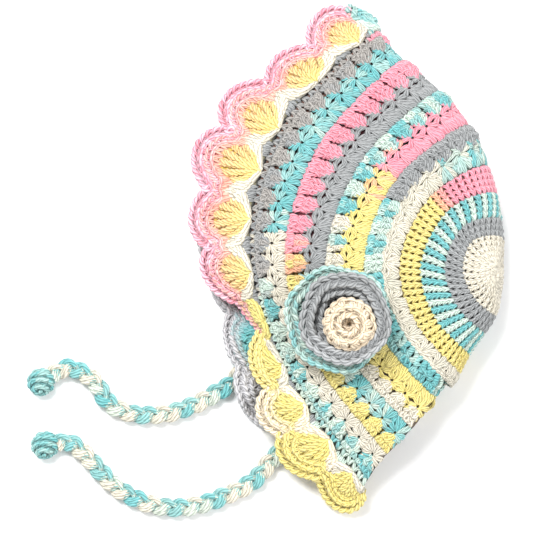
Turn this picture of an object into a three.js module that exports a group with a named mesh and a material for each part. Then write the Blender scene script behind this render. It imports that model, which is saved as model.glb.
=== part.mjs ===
// A baby's crochet bonnet lying on its left side on a table, with its two ties spread out. Millimetres, +Z up,
// the table is z = 0. The near side faces up, the far side lies on the table, and the fold between them runs
// round the crown and the top of the head.
import * as THREE from "three";
import { mergeVertices } from "three/addons/utils/BufferGeometryUtils.js";

// Cloth and gaps
const WALL = 3.0; // thickness of the crochet fabric
const GAP = 0.3; // air left between two pieces
const EDGE_GAP = 0.4; // the same where the edging follows the front edge in shorter steps
const ORIGIN = { x: 34.1, y: 5.4 }; // middle of the bonnet's box, taken off every plan position

// Steps of the faceted surfaces
const CROWN_STEPS = { neck: 3, out: 9 };
const SIDE_STEPS = { along: 64, out: 13 };
const EDGE_STEPS = { perShell: 6, out: 3 };
const FLOWER_STEPS = 40;

// Rows 1 to 5 are the crown, rows 6 to 13 the side
const SEAM_ROW = 5;
const FRONT_ROW = 13;
const FOLD = { reach: 13, drop: 2 }; // plan width of the rounding over the fold, and its shoulder's drop

// Crown centre, where all rounds start
const CENTRE = [95, -5.4, 26];

// Row lines of the fabric, counted from the crown centre. near: from the neck over the upper side to the
// fold (neck, low, mid, high, fold). far: back down the side that lies on the table (high, mid, low, neck).
// Rows 1 to 5 are closed rounds, so they have no neck point on the far side.
const ROW_LINES = [
  { row: 1, near: [[95.5, -20, 17], [87, -15, 28.5], [82, -4, 31], [86, 8, 28.5], [98.5, 11, 17]],
    far: [[99, 6, 8], [98.5, -4, 8.5], [97, -13, 9]] },
  { row: 3, near: [[84.5, -37, 17], [70, -24, 32.5], [64, -2, 34.5], [76, 21, 32], [96.5, 30, 17]],
    far: [[90, 23, 2.5], [85, -1, 1], [80, -25, 2.5]] },
  { row: 5, near: [[77, -50, 16], [57, -29, 32.5], [49, -1, 35.5], [62, 30, 32.5], [90, 50, 16]],
    far: [[74, 32, 0], [67, 2, 0], [67, -30, 0]] },
  { row: 7, near: [[65, -62.5, 24], [40, -34, 31], [33, 2, 35], [48, 39, 31], [80, 67, 15]],
    far: [[56, 43, 0], [46, 5, 0], [47, -33, 0], [67, -60.5, 6]] },
  { row: 9, near: [[55.5, -73.5, 22], [27, -37, 28], [18, 4, 32], [34, 47, 29], [67, 80, 14]],
    far: [[40, 52, 0], [27, 7, 0], [32, -37, 0], [55, -70, 1]] },
  { row: 11, near: [[46.5, -82.5, 18], [15, -40, 24], [2, 5, 28], [16, 53, 26], [53, 93, 13]],
    far: [[21, 57, 0], [10, 7, 0], [18, -41, 0], [44, -79, 0]] },
  { row: 13, near: [[40, -92, 14], [7, -42, 20], [-7, 9, 24], [7, 60, 22], [48, 102, 12]],
    far: [[11, 64, 0], [-4, 11, 0], [6, -48, 0], [35, -84, 0]] },
];

// Scalloped edging, one shell a row: where its first side leaves the front edge (root, 0 at the near neck
// corner, 1 at the fold, 2 at the far neck corner), its first valley and its tip.
const SHELLS = [
  { shell: "near 11", root: 0, valley: [40, -94.5, 10], tip: [30.5, -101.5, 3.2] },
  { shell: "near 10", root: 0.06, valley: [21, -88, 10], tip: [7, -82.5, 10.6] },
  { shell: "near 9", root: 0.135, valley: [5.5, -71, 11], tip: [-4, -61.5, 12] },
  { shell: "near 8", root: 0.21, valley: [2, -52, 14], tip: [-7, -40, 15] },
  { shell: "near 7", root: 0.295, valley: [-2, -27, 15.5], tip: [-8, -19, 12] },
  { shell: "near 6", root: 0.385, valley: [-14, -13, 13], tip: [-26.5, -3.5, 14] },
  { shell: "near 5", root: 0.494, valley: [-24, 8, 18], tip: [-32.5, 19.5, 16] },
  { shell: "near 4", root: 0.6, valley: [-25, 32, 19], tip: [-30.5, 51, 16] },
  { shell: "near 3", root: 0.69, valley: [-15, 57, 18], tip: [-18, 73, 15] },
  { shell: "near 2", root: 0.782, valley: [0, 78, 17], tip: [5, 91, 14] },
  { shell: "near 1", root: 0.887, valley: [18.5, 92, 15], tip: [20.5, 108, 13] },
  { shell: "top", root: 0.95, valley: [34, 109.5, 15], tip: [36, 112.5, 12] },
  { shell: "far 1", root: 1.05, valley: [46.5, 108, 6], tip: [36, 109, 3] },
  { shell: "far 2", root: 1.14, valley: [29, 102, 1], tip: [21, 100, 0] },
  { shell: "far 3", root: 1.225, valley: [14, 90, 0], tip: [2, 85, 0] },
  { shell: "far 4", root: 1.31, valley: [-3, 74, 0], tip: [-15, 67, 0] },
  { shell: "far 5", root: 1.395, valley: [-17, 53, 0], tip: [-26, 43, 0] },
  { shell: "far 6", root: 1.475, valley: [-24, 28, 0], tip: [-29, 14, 0] },
  { shell: "far 7", root: 1.56, valley: [-23, 1, 0], tip: [-23, -8, 0] },
  { shell: "far 8", root: 1.645, valley: [-15, -17, 0], tip: [-16.5, -28, 0] },
  { shell: "far 9", root: 1.735, valley: [-11, -40, 0], tip: [-12, -54, 0] },
  { shell: "far 10", root: 1.825, valley: [-1, -66, 0], tip: [7, -67, 0] },
  { shell: "far 11", root: 1.905, valley: [16, -70, 0], tip: [22, -82, 0] },
];
const SHELLS_END = { root: 2, valley: [36, -86, 0] };

// Ties: crocheted cords on the table, each from under the edging to its knot. Plan routes, start to knot.
const TIE = { diameter: 7.5, height: 3.8, sides: 10, steps: 26 };
const FAR_TIE_ROUTE = [
  [-4.4, -34.5], [-8.2, -38.3], [-11.2, -42.1], [-13.7, -47.2], [-21.3, -51.9], [-28.4, -56.1],
  [-38.5, -59.9], [-45.3, -61.1], [-54.1, -61.1], [-61.7, -59.0], [-67.6, -54.8], [-71.5, -48.1],
  [-76.2, -44.2], [-83.0, -41.3], [-87.5, -42.6],
];
const FAR_KNOT = [-95.0, -47.7];
const NEAR_TIE_ROUTE = [
  [11.1, -74.6], [6.1, -76.7], [1.5, -80.9], [-4.0, -87.6], [-10.7, -92.2], [-17.4, -95.1],
  [-24.9, -98.1], [-35.8, -100.1], [-46.3, -99.3], [-55.5, -96.0], [-63.1, -91.4], [-69.9, -84.7],
  [-75.0, -78.8], [-80.9, -73.8], [-84.5, -72.6],
];
const NEAR_KNOT = [-93.0, -74.3];
const KNOT = { across: 11.6, tall: 9.6, lump: 0.45, around: 14, up: 8 };
const ARCH = { lift: 7.9, flat: 6.5, reach: 17 }; // how the far cloth rides over the tie beneath it

// Flower: three layers sewn to the near side. Radius, underside and top of each layer, from its middle out.
const FLOWER = { row: 7.7, side: 0.33, stand: 0.8, turn: 0.3 };
const FLOWER_LAYERS = [
  { name: "flower_outer_petals", shift: [0, 0], petals: 6, scallop: 1.6, wave: 0.9, section: [
    { r: 0, under: 0, top: 2.6 }, { r: 11.5, under: 0.5, top: 3.1 },
    { r: 17.4, under: 3.0, top: 5.4 }, { r: 20.3, under: 4.4, top: 6.3 } ] },
  { name: "flower_middle_petals", shift: [3.6, 0.3], petals: 5, scallop: 1.2, wave: 0.5, section: [
    { r: 0, under: 3.2, top: 6.2 }, { r: 8.7, under: 4.1, top: 6.6 }, { r: 12.0, under: 5.7, top: 7.3 },
    { r: 14.0, under: 7.0, top: 10.8 }, { r: 15.8, under: 7.9, top: 10.4 }, { r: 17.8, under: 8.6, top: 11.4 } ] },
  { name: "flower_centre", shift: [5.6, -1.8], petals: 6, scallop: 0.5, wave: 0.2, section: [
    { r: 0, under: 6.7, top: 12.0 }, { r: 3.2, under: 6.8, top: 12.4 }, { r: 5.9, under: 7.0, top: 15.2 },
    { r: 8.3, under: 7.6, top: 14.6 }, { r: 9.6, under: 9.0, top: 12.2 } ] },
];

// Vector helpers on plain [x, y, z] triples
const add = (a, b, k = 1) => [a[0] + b[0] * k, a[1] + b[1] * k, a[2] + b[2] * k];
const sub = (a, b) => add(a, b, -1);
const mix = (a, b, t) => a.map((v, i) => v * (1 - t) + b[i] * t);
const cross = (a, b) => [a[1] * b[2] - a[2] * b[1], a[2] * b[0] - a[0] * b[2], a[0] * b[1] - a[1] * b[0]];
const unit = (a) => add([0, 0, 0], a, 1 / Math.hypot(...a));

// Smooth curve through four neighbouring points, t from the second to the third
function through(a, b, c, d, t) {
  return b.map((_, i) => b[i] + 0.5 * t * (c[i] - a[i] + t * (2 * a[i] - 5 * b[i] + 4 * c[i] - d[i] +
    t * (3 * (b[i] - c[i]) + d[i] - a[i]))));
}

// Height of a row line, rounded over the fold: it rises from the fold like a quarter of an ellipse
function heightOnLine(line, s, x, y) {
  const closed = line.far.length === 3;
  const fold = closed && (s < 2 || s > 6) ? line.near[0] : line.near[4];
  const [low, high] = [line.near[1][2], line.near[3][2]];
  const [farHigh, farMid, farLow, farNeck = farLow] = line.far.map((p) => p[2]);
  const levels = s <= 4
    ? [closed ? low - FOLD.drop : line.near[0][2], low, line.near[2][2], high, high - FOLD.drop]
    : [farHigh, farHigh, farMid, farLow, farNeck];
  const t = s <= 4 ? s : s - 4;
  const i = Math.min(Math.floor(t), 3);
  const level = (k) => [levels[Math.min(Math.max(k, 0), 4)]];
  const side = through(level(i - 1), level(i), level(i + 1), level(i + 2), t - i)[0];
  const away = Math.min(Math.hypot(x - fold[0], y - fold[1]) / FOLD.reach, 1);
  return fold[2] + (side - fold[2]) * Math.sqrt(1 - (1 - away) ** 2);
}

// A point of one row line. side runs from 0 (near neck) over 1 (fold) to 2 (far neck).
function onLine(line, side) {
  const closed = line.far.length === 3;
  const stations = [...line.near, ...line.far];
  const last = closed ? stations.length : stations.length - 1;
  const at = (i) => {
    if (closed) return stations[(i + stations.length) % stations.length];
    if (i < 0) return add(stations[0], sub(stations[0], stations[1]));
    if (i > last) return add(stations[last], sub(stations[last], stations[last - 1]));
    return stations[i];
  };
  const s = closed ? (((side * 4) % 8) + 8) % 8 : Math.min(Math.max(side, 0), 2) * 4;
  const i = Math.min(Math.floor(s), last - 1);
  const p = through(at(i - 1), at(i), at(i + 1), at(i + 2), s - i);
  return [p[0], p[1], heightOnLine(line, s, p[0], p[1])];
}

// A point of the outer face at a row count (0 crown centre, 13 front edge) and a side
function outerPoint(row, side) {
  const t = row < 1 ? row : (row + 1) / 2;
  const line = (i) => {
    if (i === 0) return CENTRE;
    if (i < 0) return onLine(ROW_LINES[0], (side + 1) % 2);
    if (i > ROW_LINES.length) {
      const end = ROW_LINES.length - 1;
      const a = onLine(ROW_LINES[end], side);
      return add(a, sub(a, onLine(ROW_LINES[end - 1], side)));
    }
    return onLine(ROW_LINES[i - 1], side);
  };
  const i = Math.min(Math.floor(t), ROW_LINES.length - 1);
  return through(line(i - 1), line(i), line(i + 1), line(i + 2), t - i);
}

// How far a plan point is from the stretch of the far tie that lies under the edging
function distanceToTie(x, y) {
  let best = Infinity;
  for (let i = 0; i < 3; i++) {
    const [a, b] = [FAR_TIE_ROUTE[i], FAR_TIE_ROUTE[i + 1]];
    const [dx, dy] = [b[0] - a[0], b[1] - a[1]];
    const t = Math.min(1, Math.max(0, ((x - a[0]) * dx + (y - a[1]) * dy) / (dx * dx + dy * dy)));
    best = Math.min(best, Math.hypot(x - a[0] - t * dx, y - a[1] - t * dy));
  }
  return best;
}

// Rests a point of the outer face: never below the table, and over the far tie where it lies beneath
function rested(p, far) {
  const s = Math.min(1, Math.max(0, (distanceToTie(p[0], p[1]) - ARCH.flat) / (ARCH.reach - ARCH.flat)));
  const over = far ? ARCH.lift * (1 - s * s * (3 - 2 * s)) : 0;
  return [p[0], p[1], Math.max(p[2], over, 0)];
}

function outwardNormal(point, row, side) {
  const e = 0.02;
  const r0 = Math.max(row, 0.05);
  const du = sub(point(r0 + e, side), point(r0 - e, side));
  const dv = sub(point(r0, side + e), point(r0, side - e));
  return unit(cross(dv, du));
}

const clothPoint = (row, side) => rested(outerPoint(row, side), side > 1.02 && side < 1.98);

// Closed solid from two grids of points with the same rows and columns: an upper face and an under face.
// wrap joins the last column to the first, pole closes the first row to one point.
function slab(outer, inner, { wrap = false, pole = false } = {}) {
  const position = [];
  const index = [];
  const put = (grid) => grid.map((line) => line.map((p) => {
    position.push(p[0] - ORIGIN.x, p[1] - ORIGIN.y, p[2]);
    return position.length / 3 - 1;
  }));
  const [a, b] = [put(outer), put(inner)];
  const [rows, cols] = [outer.length, outer[0].length];
  const quad = (p, q, r, s) => index.push(p, r, q, p, s, r);
  const lastCol = wrap ? cols : cols - 1;
  for (let i = 0; i + 1 < rows; i++) {
    for (let j = 0; j < lastCol; j++) {
      const k = (j + 1) % cols;
      if (pole && i === 0) {
        index.push(a[0][0], a[1][k], a[1][j], b[0][0], b[1][j], b[1][k]);
      } else {
        quad(a[i][j], a[i + 1][j], a[i + 1][k], a[i][k]);
        quad(b[i][j], b[i][k], b[i + 1][k], b[i + 1][j]);
      }
    }
  }
  for (let j = 0; j < lastCol; j++) {
    const k = (j + 1) % cols;
    quad(a[rows - 1][j], b[rows - 1][j], b[rows - 1][k], a[rows - 1][k]);
    if (!pole) quad(a[0][k], b[0][k], b[0][j], a[0][j]);
  }
  if (!wrap) {
    for (let i = 0; i + 1 < rows; i++) {
      quad(a[i][0], b[i][0], b[i + 1][0], a[i + 1][0]);
      quad(a[i + 1][cols - 1], b[i + 1][cols - 1], b[i][cols - 1], a[i][cols - 1]);
    }
  }
  const g = new THREE.BufferGeometry();
  g.setAttribute("position", new THREE.Float32BufferAttribute(position, 3));
  g.setIndex(index);
  return mergeVertices(g, 1e-3);
}

// Grid of the cloth, its outer face and its inner face one wall further in. columns(row) lists its sides.
function clothGrids(rows, columns) {
  const outer = rows.map((row) => columns(row).map((side) => clothPoint(row, side)));
  const inner = rows.map((row, i) => columns(row).map((side, j) =>
    add(outer[i][j], outwardNormal(outerPoint, row, side), -WALL)));
  return [outer, inner];
}

const steps = (count, from, to) =>
  Array.from({ length: count + 1 }, (_, i) => from + ((to - from) * i) / count);

// Side columns at a row: the rows start a little way from the back of the neck and soon reach the neck edge
const NECK_INSET = 0.07;
function sideColumns(row) {
  const inset = NECK_INSET * Math.max(0, 1 - (row - SEAM_ROW) / 1.5);
  return steps(SIDE_STEPS.along, inset, 2 - inset);
}
const halfGap = GAP / 2 / 7; // half a gap as a share of a row's depth

// Crown: rows 1 to 5, worked in closed rounds
function crownGeometry() {
  const columns = [...sideColumns(SEAM_ROW), ...steps(CROWN_STEPS.neck, 2 - NECK_INSET, 2 + NECK_INSET).slice(1, -1)];
  const grids = clothGrids(steps(CROWN_STEPS.out, 0, SEAM_ROW - halfGap), () => columns);
  const middleNormal = outwardNormal(outerPoint, 0.3, 0.5);
  grids[1][0] = grids[1][0].map(() => add(CENTRE, middleNormal, -WALL));
  return slab(...grids, { wrap: true, pole: true });
}

// Side: rows 6 to 13, worked back and forth, open at the face and at the neck
const sideGeometry = () =>
  slab(...clothGrids(steps(SIDE_STEPS.out, SEAM_ROW + halfGap, FRONT_ROW - halfGap), sideColumns));

// Front edge of the side, as straight stretches between its columns. face 0 is the outer edge, 1 the inner.
const FRONT_GRIDS = clothGrids([FRONT_ROW - halfGap], sideColumns);
function frontEdge(root, face) {
  const s = (root / 2) * SIDE_STEPS.along;
  const i = Math.min(Math.floor(s), SIDE_STEPS.along - 1);
  return mix(FRONT_GRIDS[face][0][i], FRONT_GRIDS[face][0][i + 1], s - i);
}

// Edging: shells side by side along the front edge, each a fan that ends in a half-round scallop
function rimPoint(shell, next, around) {
  const middle = mix(shell.valley, next.valley, 0.5);
  const half = sub(next.valley, middle);
  const a = (around * Math.PI) / 2;
  return add(add(middle, half, Math.sin(a)), sub(shell.tip, middle), Math.cos(a));
}

function edgingGeometry() {
  const outer = steps(EDGE_STEPS.out, 0, 1).map(() => []);
  const inner = outer.map(() => []);
  SHELLS.forEach((shell, s) => {
    const next = SHELLS[s + 1] ?? SHELLS_END;
    const last = s === SHELLS.length - 1;
    steps(EDGE_STEPS.perShell, -1, 1).slice(0, last ? undefined : -1).forEach((around) => {
      const root = shell.root + ((next.root - shell.root) * (around + 1)) / 2;
      const along = sub(frontEdge(Math.min(root + 0.03, 2), 0), frontEdge(Math.max(root - 0.03, 0), 0));
      const away = unit(cross(outwardNormal(outerPoint, FRONT_ROW, root), along));
      const base = add(frontEdge(root, 0), away, EDGE_GAP);
      const baseIn = add(frontEdge(root, 1), away, EDGE_GAP);
      const rim = rimPoint(shell, next, around);
      const rimIn = add(rim, unit(cross(along, sub(rim, base))), -WALL);
      outer.forEach((line, i) => {
        const out = i / EDGE_STEPS.out;
        const flat = mix(base, rim, out);
        const lifted = rested(flat, root > 1.02 && i > 0);
        line.push(lifted);
        inner[i].push(add(mix(baseIn, rimIn, out), sub(lifted, flat)));
      });
    });
  });
  return slab(outer, inner);
}

// Flower layer: a round petal ring in the flower's own frame on the near side
function flowerFrame() {
  const base = outerPoint(FLOWER.row, FLOWER.side);
  const n = outwardNormal(outerPoint, FLOWER.row, FLOWER.side);
  const right = unit(cross([0, 1, 0], n));
  return { base: add(base, n, FLOWER.stand), up: n, right, ahead: cross(n, right) };
}

function flowerGeometry(layer) {
  const f = flowerFrame();
  const place = (r, angle, height) => add(add(add(f.base, f.right, layer.shift[0] + r * Math.cos(angle)),
    f.ahead, layer.shift[1] + r * Math.sin(angle)), f.up, height);
  const [top, under] = [[], []];
  const reach = layer.section[layer.section.length - 1].r;
  layer.section.forEach(({ r, under: low, top: high }) => {
    const [lineTop, lineUnder] = [[], []];
    for (let j = 0; j < FLOWER_STEPS; j++) {
      const angle = (-j / FLOWER_STEPS) * Math.PI * 2;
      const share = (r / reach) ** 3;
      const lobe = Math.cos(layer.petals * (angle + FLOWER.turn));
      const radius = r + share * layer.scallop * lobe * 0.5;
      const lift = share * layer.wave * (1 - lobe) * 0.5;
      lineTop.push(place(radius, angle, high + lift));
      lineUnder.push(place(radius, angle, low + lift));
    }
    top.push(lineTop);
    under.push(lineUnder);
  });
  return slab(top, under, { wrap: true, pole: true });
}

// Tie: a round cord along its route on the table, to just short of its knot
function tieGeometry(route, knot) {
  const way = unit(sub([...route[route.length - 1], 0], [...knot, 0]));
  const end = add([...knot, 0], way, KNOT.across / 2 + GAP);
  const points = [...route, end].map(([x, y]) => new THREE.Vector3(x - ORIGIN.x, y - ORIGIN.y, TIE.height));
  const section = new THREE.Shape();
  for (let i = 0; i < TIE.sides; i++) {
    const a = (i / TIE.sides) * Math.PI * 2;
    const [x, y] = [Math.cos(a) * TIE.diameter / 2, Math.sin(a) * TIE.diameter / 2];
    if (i) section.lineTo(x, y);
    else section.moveTo(x, y);
  }
  section.closePath();
  const g = new THREE.ExtrudeGeometry(section, {
    steps: TIE.steps, bevelEnabled: false, extrudePath: new THREE.CatmullRomCurve3(points),
  });
  g.deleteAttribute("normal");
  g.deleteAttribute("uv");
  return mergeVertices(g, 1e-3);
}

// Knot: a lumpy ball at the end of its tie, resting on the table
function knotGeometry(knot) {
  const middle = [...knot, KNOT.tall / 2];
  const position = [];
  const index = [];
  const put = (x, y, z) => position.push(middle[0] + x - ORIGIN.x, middle[1] + y - ORIGIN.y, middle[2] + z);
  put(0, 0, -KNOT.tall / 2);
  for (let i = 1; i < KNOT.up; i++) {
    const lat = -Math.PI / 2 + (i / KNOT.up) * Math.PI;
    for (let j = 0; j < KNOT.around; j++) {
      const a = (j / KNOT.around) * Math.PI * 2;
      const lump = KNOT.lump * (Math.cos(3 * a + 2 * lat) - 1);
      const r = (KNOT.across / 2 + lump) * Math.cos(lat);
      put(r * Math.cos(a), r * Math.sin(a), Math.sin(lat) * KNOT.tall / 2);
    }
  }
  put(0, 0, KNOT.tall / 2);
  const ring = (i, j) => 1 + (i - 1) * KNOT.around + (j % KNOT.around);
  const top = 1 + (KNOT.up - 1) * KNOT.around;
  for (let j = 0; j < KNOT.around; j++) {
    index.push(0, ring(1, j + 1), ring(1, j));
    for (let i = 1; i + 1 < KNOT.up; i++) {
      index.push(ring(i, j), ring(i, j + 1), ring(i + 1, j + 1));
      index.push(ring(i, j), ring(i + 1, j + 1), ring(i + 1, j));
    }
    index.push(top, ring(KNOT.up - 1, j), ring(KNOT.up - 1, j + 1));
  }
  const g = new THREE.BufferGeometry();
  g.setAttribute("position", new THREE.Float32BufferAttribute(position, 3));
  g.setIndex(index);
  return g;
}

const COLOURS = { cream: 0xf0e9d7, mint: 0x8fd0cc, grey: 0xa6a6ac, pink: 0xfa96af, teal: 0x6ecdcb };
const bonnet = new THREE.Group();
function addPiece(name, geometry, colour) {
  geometry.computeVertexNormals();
  const mesh = new THREE.Mesh(geometry, new THREE.MeshStandardMaterial({ color: colour }));
  mesh.name = name;
  bonnet.add(mesh);
}

addPiece("crown", crownGeometry(), COLOURS.cream);
addPiece("side", sideGeometry(), COLOURS.mint);
addPiece("scalloped_edging", edgingGeometry(), COLOURS.pink);
const LAYER_COLOURS = [COLOURS.mint, COLOURS.grey, COLOURS.cream];
FLOWER_LAYERS.forEach((layer, i) => addPiece(layer.name, flowerGeometry(layer), LAYER_COLOURS[i]));
addPiece("far_tie", tieGeometry(FAR_TIE_ROUTE, FAR_KNOT), COLOURS.teal);
addPiece("near_tie", tieGeometry(NEAR_TIE_ROUTE, NEAR_KNOT), COLOURS.teal);
addPiece("far_knot", knotGeometry(FAR_KNOT), COLOURS.teal);
addPiece("near_knot", knotGeometry(NEAR_KNOT), COLOURS.teal);

export default bonnet;
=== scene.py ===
"""A baby's crochet bonnet lying on its right side on a table, with its two ties spread out.

The cloth is the bonnet's shape: a crown worked in rounds, rows worked back and forth to the front edge,
and a scalloped edging. Every stitch on it is made of strands of yarn: the script lays their centre lines
on the cloth, and one Geometry Nodes tree sweeps them into plied yarn. Tables are in millimetres, apart
from the ties' routes, the camera and the lights. Objects are in metres.
"""
import math
import random

import bmesh
import bpy
import numpy as np
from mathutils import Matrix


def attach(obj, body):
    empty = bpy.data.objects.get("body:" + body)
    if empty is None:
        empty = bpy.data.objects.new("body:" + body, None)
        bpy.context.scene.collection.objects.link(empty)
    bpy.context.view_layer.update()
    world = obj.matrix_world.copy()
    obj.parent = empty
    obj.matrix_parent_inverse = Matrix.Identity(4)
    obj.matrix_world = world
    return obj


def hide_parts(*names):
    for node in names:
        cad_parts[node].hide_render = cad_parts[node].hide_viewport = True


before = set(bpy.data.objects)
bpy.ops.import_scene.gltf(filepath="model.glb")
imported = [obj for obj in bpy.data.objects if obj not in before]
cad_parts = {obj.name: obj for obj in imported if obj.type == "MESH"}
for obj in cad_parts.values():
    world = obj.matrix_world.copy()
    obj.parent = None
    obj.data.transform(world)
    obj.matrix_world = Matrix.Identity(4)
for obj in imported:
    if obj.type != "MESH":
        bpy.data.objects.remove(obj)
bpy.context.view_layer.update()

MM = 0.001
ORIGIN = np.array([34.1, 5.4, 0.0])  # middle of the bonnet's box in the tables' coordinates
RNG = random.Random(11)

# Camera: the photograph's angle, from straight in front of the lying bonnet's neck edge, 82 degrees up
VIEW = {"elevation": 82.0, "distance": 1.0, "target": (-0.0341, -0.0054, 0.015), "width": 0.22386}

# Yarn of double knitting weight
YARN = {"radius": 0.7, "sides": 5, "turn": 4.2}
BRAID = {"pitch": 2.5, "radius": 0.9, "rise": 0.75, "sink": -0.35}
WALL = 3.0
GROUND_TOP = -1.4  # the ground of the cloth lies this far under its outer face
STITCH_SINK = 0.65  # the stitches are worked this far into the cloth's face

# Ties: routes on the table from under the edging to the knot, in metres
TIE = {"diameter": 0.0075, "height": 0.0038}
PLAIT = {"turn": 18.0, "bundles": 3, "plies": 3, "ply_gap": 1.05, "radius": 1.02, "swing": 1.25,
         "inset": 1.35, "height": 2.4, "lap": 1.2, "step": 0.9}
FAR_TIE_ROUTE = [
    (-0.0044, -0.0345), (-0.0082, -0.0383), (-0.0112, -0.0421), (-0.0137, -0.0472), (-0.0213, -0.0519),
    (-0.0284, -0.0561), (-0.0385, -0.0599), (-0.0453, -0.0611), (-0.0541, -0.0611), (-0.0617, -0.0590),
    (-0.0676, -0.0548), (-0.0715, -0.0481), (-0.0762, -0.0442), (-0.0830, -0.0413), (-0.0875, -0.0426),
]
FAR_KNOT = (-0.0950, -0.0477)
NEAR_TIE_ROUTE = [
    (0.0111, -0.0746), (0.0061, -0.0767), (0.0015, -0.0809), (-0.0040, -0.0876), (-0.0107, -0.0922),
    (-0.0174, -0.0951), (-0.0249, -0.0981), (-0.0358, -0.1001), (-0.0463, -0.0993), (-0.0555, -0.0960),
    (-0.0631, -0.0914), (-0.0699, -0.0847), (-0.0750, -0.0788), (-0.0809, -0.0738), (-0.0845, -0.0726),
]
NEAR_KNOT = (-0.0930, -0.0743)
KNOT = {"across": 11.6, "tall": 9.6, "gap": 0.3}
KNOT_RINGS = {"latitudes": (74, 38, 4, -30, -62), "reach": (4.5, 4.3, 3.5), "tilt": 62, "pitch": 3.0,
              "width": 3.4, "radius": 0.92}
ARCH = {"lift": 7.9, "flat": 6.5, "reach": 17.0}  # how the far cloth rides over the tie beneath it

# Row lines of the cloth from the crown centre to the front edge. near: neck, low, mid, high, fold.
# far: high, mid, low, and on the open rows the neck.
CENTRE = (95, -5.4, 26)
FOLD = {"reach": 13.0, "drop": 2.0}
SEAM_ROW = 5
FRONT_ROW = 13
NECK_INSET = {"size": 0.07, "rows": 1.5}  # an open row's ends stay inside the neck corners at first
FAR_SIDE = (1.02, 1.98)  # sides between which the cloth is its far half
ROW_LINES = [
    {"row": 1, "near": [(95.5, -20, 17), (87, -15, 28.5), (82, -4, 31), (86, 8, 28.5), (98.5, 11, 17)],
     "far": [(99, 6, 8), (98.5, -4, 8.5), (97, -13, 9)]},
    {"row": 3, "near": [(84.5, -37, 17), (70, -24, 32.5), (64, -2, 34.5), (76, 21, 32), (96.5, 30, 17)],
     "far": [(90, 23, 2.5), (85, -1, 1), (80, -25, 2.5)]},
    {"row": 5, "near": [(77, -50, 16), (57, -29, 32.5), (49, -1, 35.5), (62, 30, 32.5), (90, 50, 16)],
     "far": [(74, 32, 0), (67, 2, 0), (67, -30, 0)]},
    {"row": 7, "near": [(65, -62.5, 24), (40, -34, 31), (33, 2, 35), (48, 39, 31), (80, 67, 15)],
     "far": [(56, 43, 0), (46, 5, 0), (47, -33, 0), (67, -60.5, 6)]},
    {"row": 9, "near": [(55.5, -73.5, 22), (27, -37, 28), (18, 4, 32), (34, 47, 29), (67, 80, 14)],
     "far": [(40, 52, 0), (27, 7, 0), (32, -37, 0), (55, -70, 1)]},
    {"row": 11, "near": [(46.5, -82.5, 18), (15, -40, 24), (2, 5, 28), (16, 53, 26), (53, 93, 13)],
     "far": [(21, 57, 0), (10, 7, 0), (18, -41, 0), (44, -79, 0)]},
    {"row": 13, "near": [(40, -92, 14), (7, -42, 20), (-7, 9, 24), (7, 60, 22), (48, 102, 12)],
     "far": [(11, 64, 0), (-4, 11, 0), (6, -48, 0), (35, -84, 0)]},
]

# Rows of stitches, from row to row of the cloth, with the stitches, eyes or Vs worked in each
CROWN_ROUNDS = [
    {"row": 1, "start": 0.08, "end": 1.1, "stitches": 32},
    {"row": 2, "start": 1.1, "end": 1.96, "stitches": 48},
    {"row": 3, "start": 1.97, "end": 3.05, "stitches": 60},
    {"row": 4, "start": 3.07, "end": 4.19, "stitches": 76},
]
STAR_ROWS = [
    {"row": 5, "top": 4.2, "block_end": 6.1, "eyes": 34},
    {"row": 7, "top": 5.98, "block_end": 8.12, "eyes": 42},
    {"row": 9, "top": 7.98, "block_end": 10.25, "eyes": 46},
    {"row": 11, "top": 10.12, "block_end": 12.42, "eyes": 46},
]
SINGLE_ROW = {"row": 13, "start": 12.3, "end": 13.0, "stitches": 120}
CROWN_PETALS = (-76, -38, 0, 38, 76)  # a star's long petals, in degrees from the way to the crown
FRONT_PETALS = (-138, -108, 108, 138)  # its short petals between the blocks of the next row
PETAL = {"eye": 0.95, "front": 5.2, "spread": 0.51}  # the eye's radius and the petals' reach
BLOCK_PUFF = 1.5  # height of a block's rounding
UNDERSIDE = (1.16, 1.96)  # sides between which the cloth rests on the table

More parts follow.
